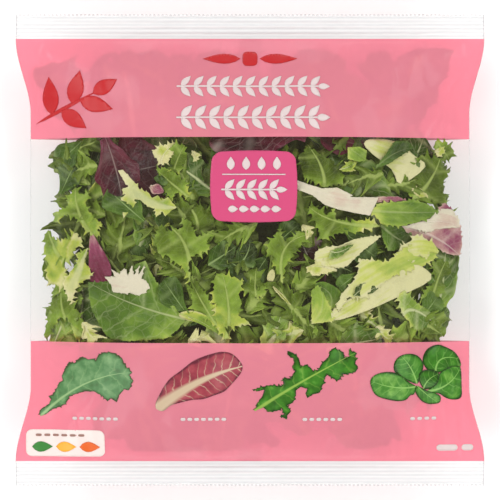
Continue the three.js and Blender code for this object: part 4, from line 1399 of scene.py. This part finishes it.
def bar(x0, x1, y, height):
    """Outline of a bar with round ends."""
    half = height / 2
    points = []
    for middle, start in ((x1 - half, -math.pi / 2), (x0 + half, math.pi / 2)):
        for i in range(7):
            angle = start + math.pi * i / 6
            points.append((middle + half * math.cos(angle), y + half * math.sin(angle)))
    return points


def garland(left, right, y, pairs, size):
    """Outlines of a stem along X with pairs of leaves and one at its end."""
    shapes = [bar(left, right - 0.7 * size, y, 0.9)]
    step = (right - 0.9 * size - left) / pairs
    for i in range(pairs):
        x = left + step * (i + 0.35)
        for side in (1, -1):
            shapes.append(petal((x, y + 0.3 * side), (x + 0.8 * size, y + 0.88 * side * size), 0.52 * size))
    shapes.append(petal((right - size, y), (right, y), 0.52 * size))
    return shapes


def make_garland(film, inks):
    """Two white garlands in the top band, and a short red rule with a lozenge over them."""
    bm = bmesh.new()
    for y, pairs, size in ((85.9, 11, 6.4), (69.3, 10, 7.3)):
        for outline in garland(-38.6, 42.0, y, pairs, size):
            lay_print(bm, outline, film, MARK_LIFT)
    for side in (-1, 1):
        lay_print(bm, petal((5 * side, 101), (25 * side, 101), 5.5), film, MARK_LIFT, 1)
    lay_print(bm, rounded_square((0, 101), (3.6, 3.6), 1.4, 0.1), film, MARK_LIFT, 1)
    return thicken(add_piece("printed_garland", bm, inks), INK)


def make_sprig(film, ink):
    """A red sprig of plain leaves at the left of the top band."""
    bm = bmesh.new()
    lay_print(bm, petal((-114, 67), (-80, 84), 2.2), film, LINE_LIFT)
    for base, tip, width in (
            ((-105, 71.5), (-107, 92), 9), ((-94, 77), (-90, 95), 9), ((-83, 82.5), (-70, 90), 8),
            ((-100, 74), (-86, 64), 8.5), ((-90, 79), (-72, 74), 8.5)):
        lay_print(bm, petal(base, tip, width), film, MARK_LIFT)
    return thicken(add_piece("printed_sprig", bm, [ink]), INK)


def make_label(film, inks):
    """The square label in the window: drops, a thin rule, a garland and a row of small leaves."""
    bm = bmesh.new()
    lay_print(bm, rounded_square((1.95, 33.1), (21.4, 17.7), 4.5, 0.06), film, FIELD_LIFT)
    marks = [bar(-14.5, 18.5, 39.3, 0.6)]
    marks += [petal((x, 41.6), (x, 48.6), 4.2) for x in (-10, -2, 6, 14)]
    marks += garland(-15, 19.5, 31.4, 5, 6.2)
    marks += [petal((x, 21.3), (x + 5.4, 21.3), 3.6) for x in np.linspace(-11.5, 11, 5)]
    for outline in marks:
        lay_print(bm, outline, film, TOP_LIFT, 1)
    return thicken(add_piece("printed_label", bm, inks), INK)


PICTURES = {
    "printed_escarole": [
        Fragment(0.4, 0, 0.7, (
            (-111.5, -88.5), (-112, -86), (-110.5, -84), (-106.5, -81.5), (-105.5, -79), (-107, -77.5),
            (-104.5, -76.5), (-102, -72.5), (-101, -70), (-99, -69), (-99.5, -66.5), (-97.5, -62),
            (-95.5, -59), (-92.5, -59.5), (-90, -57), (-88, -56), (-85, -57.5), (-82, -57), (-81, -58),
            (-79.5, -55), (-76.5, -53.5), (-70.5, -54), (-67, -56.5), (-64.5, -61.5), (-61.5, -64),
            (-63, -65.5), (-61, -68.5), (-63.5, -73.5), (-66, -73), (-68.5, -76), (-70, -80),
            (-73, -78), (-75, -79.5), (-77.5, -77), (-82, -74.5), (-87, -74.5), (-92, -76),
            (-95.5, -77.5), (-97, -80.5), (-99.5, -82.5), (-105, -84.5), (-108, -87)), rib=0.03)],
    "printed_radicchio": [
        Fragment(0.34, 0, 0, (
            (-49, -83.5), (-49.5, -81), (-48.5, -78), (-45, -71.5), (-41.5, -67), (-35.5, -62.5),
            (-30.5, -58.5), (-25.5, -56), (-19.5, -54), (-14.5, -53), (-9.5, -54), (-6, -57),
            (-4, -60.5), (-5, -64.5), (-10, -70.5), (-13.5, -74), (-18.5, -76), (-24.5, -78),
            (-30.5, -78.5), (-36.5, -80), (-41.5, -81.5), (-45.5, -84.5)), rib=0.17)],
    "printed_curly_endive": [
        Fragment(0.34, 0, 0.9, (
            (2.5, -84.5), (3.5, -80.5), (6.5, -76.5), (7.5, -73), (3.5, -74), (1, -73), (5, -72),
            (11, -70.5), (16.5, -71), (17.5, -70), (17, -67), (21, -67), (23.5, -63), (22, -61.5),
            (23, -58.5), (22.5, -56.5), (19.5, -54.5), (19.5, -52.5), (22.5, -53.5), (25.5, -56.5),
            (26.5, -61), (30, -59.5), (33, -63), (35.5, -62.5), (37.5, -59), (41, -55.5),
            (41.5, -52.5), (44, -51), (49, -53.5), (49.5, -56.5), (52, -55.5), (51.5, -52),
            (55.5, -53.5), (55, -59.5), (56.5, -61), (55, -64), (48.5, -65), (46.5, -68), (43, -67),
            (40, -65), (37.5, -71.5), (36.5, -74.5), (33, -75.5), (30, -77.5), (29, -75), (30, -72.5),
            (26.5, -71.5), (24, -73.5), (24, -76.5), (22.5, -80), (19.5, -81.5), (21.5, -84.5),
            (19.5, -87), (19.5, -89), (15.5, -87.5), (18, -86), (16.5, -83), (14, -84.5), (9.5, -85),
            (7, -82.5)), rib=0.03)],
    "printed_lambs_lettuce": [
        Fragment(0.42, 0, 0, (
            (93.5, -74.5), (97.5, -71), (100, -65.5), (104, -62.5), (109, -61), (112, -62.5),
            (112.5, -71.5), (112.5, -78), (109, -79.5), (104, -78.5), (100, -76), (96, -75.5)), rib=0.035),
        Fragment(0.3, 1, 0, (
            (98, -65), (93.5, -63), (91, -58.5), (92.5, -53.5), (95.5, -51), (99.5, -50), (104, -51.5),
            (108.5, -54), (111.5, -58), (112, -62), (107.5, -62), (102.5, -64)), rib=0.035),
        Fragment(0.36, 2, 0, (
            (88, -70.5), (83.5, -69), (78, -65.5), (75.5, -63), (76, -58.5), (79, -55.5), (84, -54.5),
            (88, -55.5), (90.5, -58), (91.5, -61), (90.5, -65), (89.5, -68)), rib=0.035),
        Fragment(0.46, 3, 0, (
            (87.5, -72), (84.5, -70), (80.5, -67), (76.5, -64.5), (71, -64), (65.5, -65.5),
            (63, -68.5), (64, -73), (66.5, -76.5), (72, -78.5), (77.5, -79.5), (82, -79),
            (84.5, -76.5), (86.5, -76)), rib=0.035),
        Fragment(0.4, 4, 0, (
            (88, -71.5), (93, -74), (97.5, -75.5), (100.5, -77), (101, -79), (100, -81), (95, -81.5),
            (91, -80), (88, -76.5), (87, -73.5)), rib=0.035),
        Fragment(0.22, 5, 0, (
            (91.5, -73), (89, -68.5), (89.5, -64.5), (93.5, -63), (97.5, -63.5), (100, -65.5),
            (99.5, -69.5), (97.5, -72), (94, -73.5)), rib=0.035)],
}


def make_pictures(film, materials):
    """The four printed leaves of the bottom band, drawn flat like torn leaves."""
    for (name, fragments), material in zip(PICTURES.items(), materials):
        bm = start_leaves()
        lay_fragments(bm, fragments, film, 571, LINE_LIFT)
        thicken(add_piece(name, bm, [material]), PICTURE_INK)


def make_captions(film, inks):
    """Plain dashes under the pictures, bars in one corner and a cream panel in the other."""
    bm = bmesh.new()
    for left, right in ((-94, -68.5), (-36.5, -11.5), (27.5, 49.5), (84.5, 100)):
        dashes = round((right - left) / 3.6)
        for start in np.linspace(left, right, dashes, endpoint=False):
            lay_print(bm, bar(start, start + 2.6, -89, 1.7), film, LINE_LIFT)
    for left, right in ((99, 110.5), (112.5, 119)):
        lay_print(bm, bar(left, right, -105, 3.4), film, LINE_LIFT)
    lay_print(bm, rounded_square((-98.1, -102.6), (21.0, 7.2), 3.0, 0.01), film, FIELD_LIFT, 1)
    for start in np.linspace(-114, -91, 6):
        lay_print(bm, bar(start, start + 3.2, -98.3, 1.2), film, TOP_LIFT, 5)
    for i, start in enumerate(np.linspace(-116, -90.5, 3)):
        lay_print(bm, petal((start, -104.6), (start + 11, -104.6), 5.6), film, TOP_LIFT, 2 + i)
    return thicken(add_piece("printed_captions", bm, inks), INK)


# Operators


class SALADBAG_OT_core(Operator):
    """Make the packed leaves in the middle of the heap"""

    bl_idname = "saladbag.core"
    bl_label = "Leaf Core"

    def execute(self, context):
        make_core(Film(context.scene.saladbag_size))
        return {"FINISHED"}


class SALADBAG_OT_leaves(Operator):
    """Make the leaves, one joined piece for each kind"""

    bl_idname = "saladbag.leaves"
    bl_label = "Leaves"

    def skins(self):
        """The skin of each piece of leaves: blade, rib, rib strength, veins, their strength, roughness."""
        greens = [
            (0.0, srgb("#272b08")), (0.25, srgb("#3d4e0b")), (0.5, srgb("#5b711b")),
            (0.72, srgb("#819c36")), (0.88, srgb("#b3bc4e")), (1.0, srgb("#d4cf92"))]
        deep_greens = [
            (0.0, srgb("#1f2d0b")), (0.25, srgb("#354f12")), (0.5, srgb("#567624")),
            (0.72, srgb("#8fa942")), (0.88, srgb("#c0c764")), (1.0, srgb("#d3cf9c"))]
        purples = [
            (0.0, srgb("#2c0814")), (0.25, srgb("#5c122b")), (0.5, srgb("#904560")),
            (0.7, srgb("#c8a597")), (0.9, srgb("#d8d0b8"))]
        looks = {
            "frisee_leaves": ("curly_endive_leaf", greens, "#a9b965", 0.75, 9.0, 0.14, 0.4),
            "frisee_outer_leaves": ("curly_endive_outer_leaf", greens, "#a9b965", 0.6, 9.0, 0.12, 0.4),
            "frisee_hearts": ("curly_endive_heart", greens, "#dcd6b0", 0.5, 9.0, 0.1, 0.4),
            "escarole_leaves": ("escarole_leaf", deep_greens, "#c9cf9a", 0.85, 6.0, 0.3, 0.4),
            "radicchio_leaves": ("radicchio_leaf", purples, "#e4d6c8", 0.9, 6.0, 0.25, 0.36),
            "lambs_lettuce_leaves": ("lambs_lettuce_leaf", deep_greens, "#a9c07a", 0.6, 4.0, 0.15, 0.34)}
        return {
            piece: leaf_material(name, blade, srgb(rib), *numbers)
            for piece, (name, blade, rib, *numbers) in looks.items()}

    def execute(self, context):
        film = Film(context.scene.saladbag_size)
        amounts = context.scene.saladbag_leaves
        draw = random.Random(amounts.seed)
        counts = {
            "frisee_leaves": amounts.frisee, "frisee_outer_leaves": amounts.frisee,
            "frisee_hearts": HEARTS, "escarole_leaves": amounts.escarole,
            "radicchio_leaves": amounts.radicchio, "lambs_lettuce_leaves": amounts.lambs_lettuce}
        skins = self.skins()
        for number, (name, scatter) in enumerate(SCATTERS.items()):
            front = round(counts[name] * FRONT_SHARE)
            back = round(counts[name] * (1 - FRONT_SHARE))
            leaves = list(PLACED.get(name, []))
            leaves += scattered(draw, film, front, scatter, 1, scatter.depth)
            leaves += scattered(draw, film, back, scatter, -1, BACK_DEPTH)
            seed = 100 * number + 1
            bm = start_leaves()
            lay_fragments(bm, FRAGMENTS.get(name, ()), film, seed + 500)
            lay_leaves(bm, scatter.kind, leaves, film, seed)
            thicken(add_piece(name, bm, [skins[name]]), amounts.thickness)
        return {"FINISHED"}


class SALADBAG_OT_film(Operator):
    """Make the film bag with its window, bands and crimped seals"""

    bl_idname = "saladbag.film"
    bl_label = "Film"

    def execute(self, context):
        colours = context.scene.saladbag_print
        film = Film(context.scene.saladbag_size)
        sealed = seal_film()
        make_film(film, [clear_film(), inked_film(tuple(colours.band)), sealed])
        make_fin_seal(film, sealed)
        return {"FINISHED"}


class SALADBAG_OT_print(Operator):
    """Make the printed shapes on the front"""

    bl_idname = "saladbag.print"
    bl_label = "Print"

    def execute(self, context):
        film = Film(context.scene.saladbag_size)
        colours = context.scene.saladbag_print
        white = solid_ink("white_ink", tuple(colours.white))
        red = solid_ink("red_ink", tuple(colours.mark))
        make_garland(film, [white, red])
        make_sprig(film, red)
        make_label(film, [solid_ink("magenta_ink", tuple(colours.label)), white])
        greens = [(0.0, srgb("#1d3c0c")), (0.4, srgb("#3c7620")), (0.8, srgb("#84b352"))]
        grey_greens = [(0.0, srgb("#3c4a2a")), (0.35, srgb("#517a4c")), (0.8, srgb("#8aab78"))]
        reds = [(0.0, srgb("#5f2531")), (0.35, srgb("#923b45")), (0.8, srgb("#b05f60"))]
        make_pictures(film, [
            picture_ink("picture_of_escarole", grey_greens, srgb("#93b07a"), 7.0, 0.3),
            picture_ink("picture_of_radicchio", reds, srgb("#bda98c"), 11.0, 0.75, 0.95),
            picture_ink("picture_of_curly_endive", greens, srgb("#8fae4c"), 9.0, 0.25),
            picture_ink("picture_of_lambs_lettuce", greens, srgb("#86b45c"), 5.0, 0.4)])
        make_captions(film, [
            white, solid_ink("cream_ink", tuple(colours.panel)), solid_ink("green_ink", srgb("#3f7d3c")),
            solid_ink("amber_ink", srgb("#eda63a")), solid_ink("orange_ink", srgb("#d9642e")),
            solid_ink("brown_ink", srgb("#9a7468"))])
        return {"FINISHED"}


class SALADBAG_OT_stage(Operator):
    """Make the pale floor, the soft studio light and the camera over the bag"""

    bl_idname = "saladbag.stage"
    bl_label = "Stage"

    FLOOR_RADIUS = 3.0
    LENS = 200.0
    VIEW_WIDTH = 0.2665       # what the camera takes in at the height of the seals
    AMBIENT = 0.42
    SOFTBOXES = (                     # direction in degrees, and watts
        ("key_softbox", 235, 25.0), ("left_softbox", 140, 25.0),
        ("right_softbox", 45, 23.0), ("fill_softbox", -40, 20.0))
    SOFTBOX_SIZE = 1.0
    SOFTBOX_DISTANCE = 2.2
    SOFTBOX_SLOPE = 34        # degrees above the floor

    def execute(self, context):
        scene = context.scene
        bm = bmesh.new()
        bmesh.ops.create_circle(bm, cap_ends=True, radius=self.FLOOR_RADIUS, segments=96)
        mesh = bpy.data.meshes.new("floor")
        bm.to_mesh(mesh)
        bm.free()
        floor = bpy.data.objects.new("floor", mesh)
        scene.collection.objects.link(floor)
        paper, add = new_material("matt_white_paper")
        matt = add("ShaderNodeBsdfDiffuse", {"Color": srgb("#fcfcfb")})
        mesh.materials.append(finish_material(paper, matt))

        world = bpy.data.worlds.new("soft_white")
        world.use_nodes = True
        world.node_tree.nodes["Background"].inputs["Color"].default_value = (1, 1, 1, 1)
        world.node_tree.nodes["Background"].inputs["Strength"].default_value = self.AMBIENT
        scene.world = world
        for name, turn, power in self.SOFTBOXES:
            lamp = bpy.data.lights.new(name, "AREA")
            lamp.shape = "SQUARE"
            lamp.size = self.SOFTBOX_SIZE
            lamp.energy = power
            light = bpy.data.objects.new(name, lamp)
            angle, slope = math.radians(turn), math.radians(self.SOFTBOX_SLOPE)
            near = self.SOFTBOX_DISTANCE * math.cos(slope)
            light.location = (
                near * math.cos(angle), near * math.sin(angle), self.SOFTBOX_DISTANCE * math.sin(slope))
            light.rotation_euler = (math.pi / 2 - slope, 0, angle + math.pi / 2)
            scene.collection.objects.link(light)

        view = bpy.data.cameras.new("camera")
        view.lens = self.LENS
        camera = bpy.data.objects.new("camera", view)
        away = self.VIEW_WIDTH * self.LENS / view.sensor_width
        camera.location = (0, 0, scene.saladbag_size.seam_height + away)
        view.clip_start, view.clip_end = 0.01, 20
        scene.collection.objects.link(camera)
        scene.camera = camera
        scene.view_settings.view_transform = "Standard"
        return {"FINISHED"}


class SALADBAG_PT_panel(Panel):
    """Settings and steps of the salad bag"""

    bl_label = "Salad Bag"
    bl_idname = "SALADBAG_PT_panel"
    bl_space_type = "VIEW_3D"
    bl_region_type = "UI"
    bl_category = "Salad Bag"

    def draw(self, context):
        layout = self.layout
        for settings in ("saladbag_size", "saladbag_print", "saladbag_leaves"):
            group = getattr(context.scene, settings)
            for name in group.bl_rna.properties.keys():
                if name not in ("rna_type", "name"):
                    layout.prop(group, name)
        for step in STEPS:
            layout.operator(step.bl_idname)


STEPS = (SALADBAG_OT_core, SALADBAG_OT_leaves, SALADBAG_OT_film, SALADBAG_OT_print, SALADBAG_OT_stage)
CLASSES = (SALADBAG_PG_size, SALADBAG_PG_print, SALADBAG_PG_leaves, *STEPS, SALADBAG_PT_panel)


def register():
    """Add the classes and the scene's settings."""
    for cls in CLASSES:
        bpy.utils.register_class(cls)
    bpy.types.Scene.saladbag_size = PointerProperty(type=SALADBAG_PG_size)
    bpy.types.Scene.saladbag_print = PointerProperty(type=SALADBAG_PG_print)
    bpy.types.Scene.saladbag_leaves = PointerProperty(type=SALADBAG_PG_leaves)


def unregister():
    """Take away what register added."""
    for name in ("saladbag_size", "saladbag_print", "saladbag_leaves"):
        delattr(bpy.types.Scene, name)
    for cls in reversed(CLASSES):
        bpy.utils.unregister_class(cls)


def main():
    """Make every piece."""
    register()
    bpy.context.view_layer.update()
    bpy.ops.saladbag.core()
    bpy.ops.saladbag.leaves()
    bpy.ops.saladbag.film()
    bpy.ops.saladbag.print()
    bpy.ops.saladbag.stage()


if __name__ == "__main__":
    main()
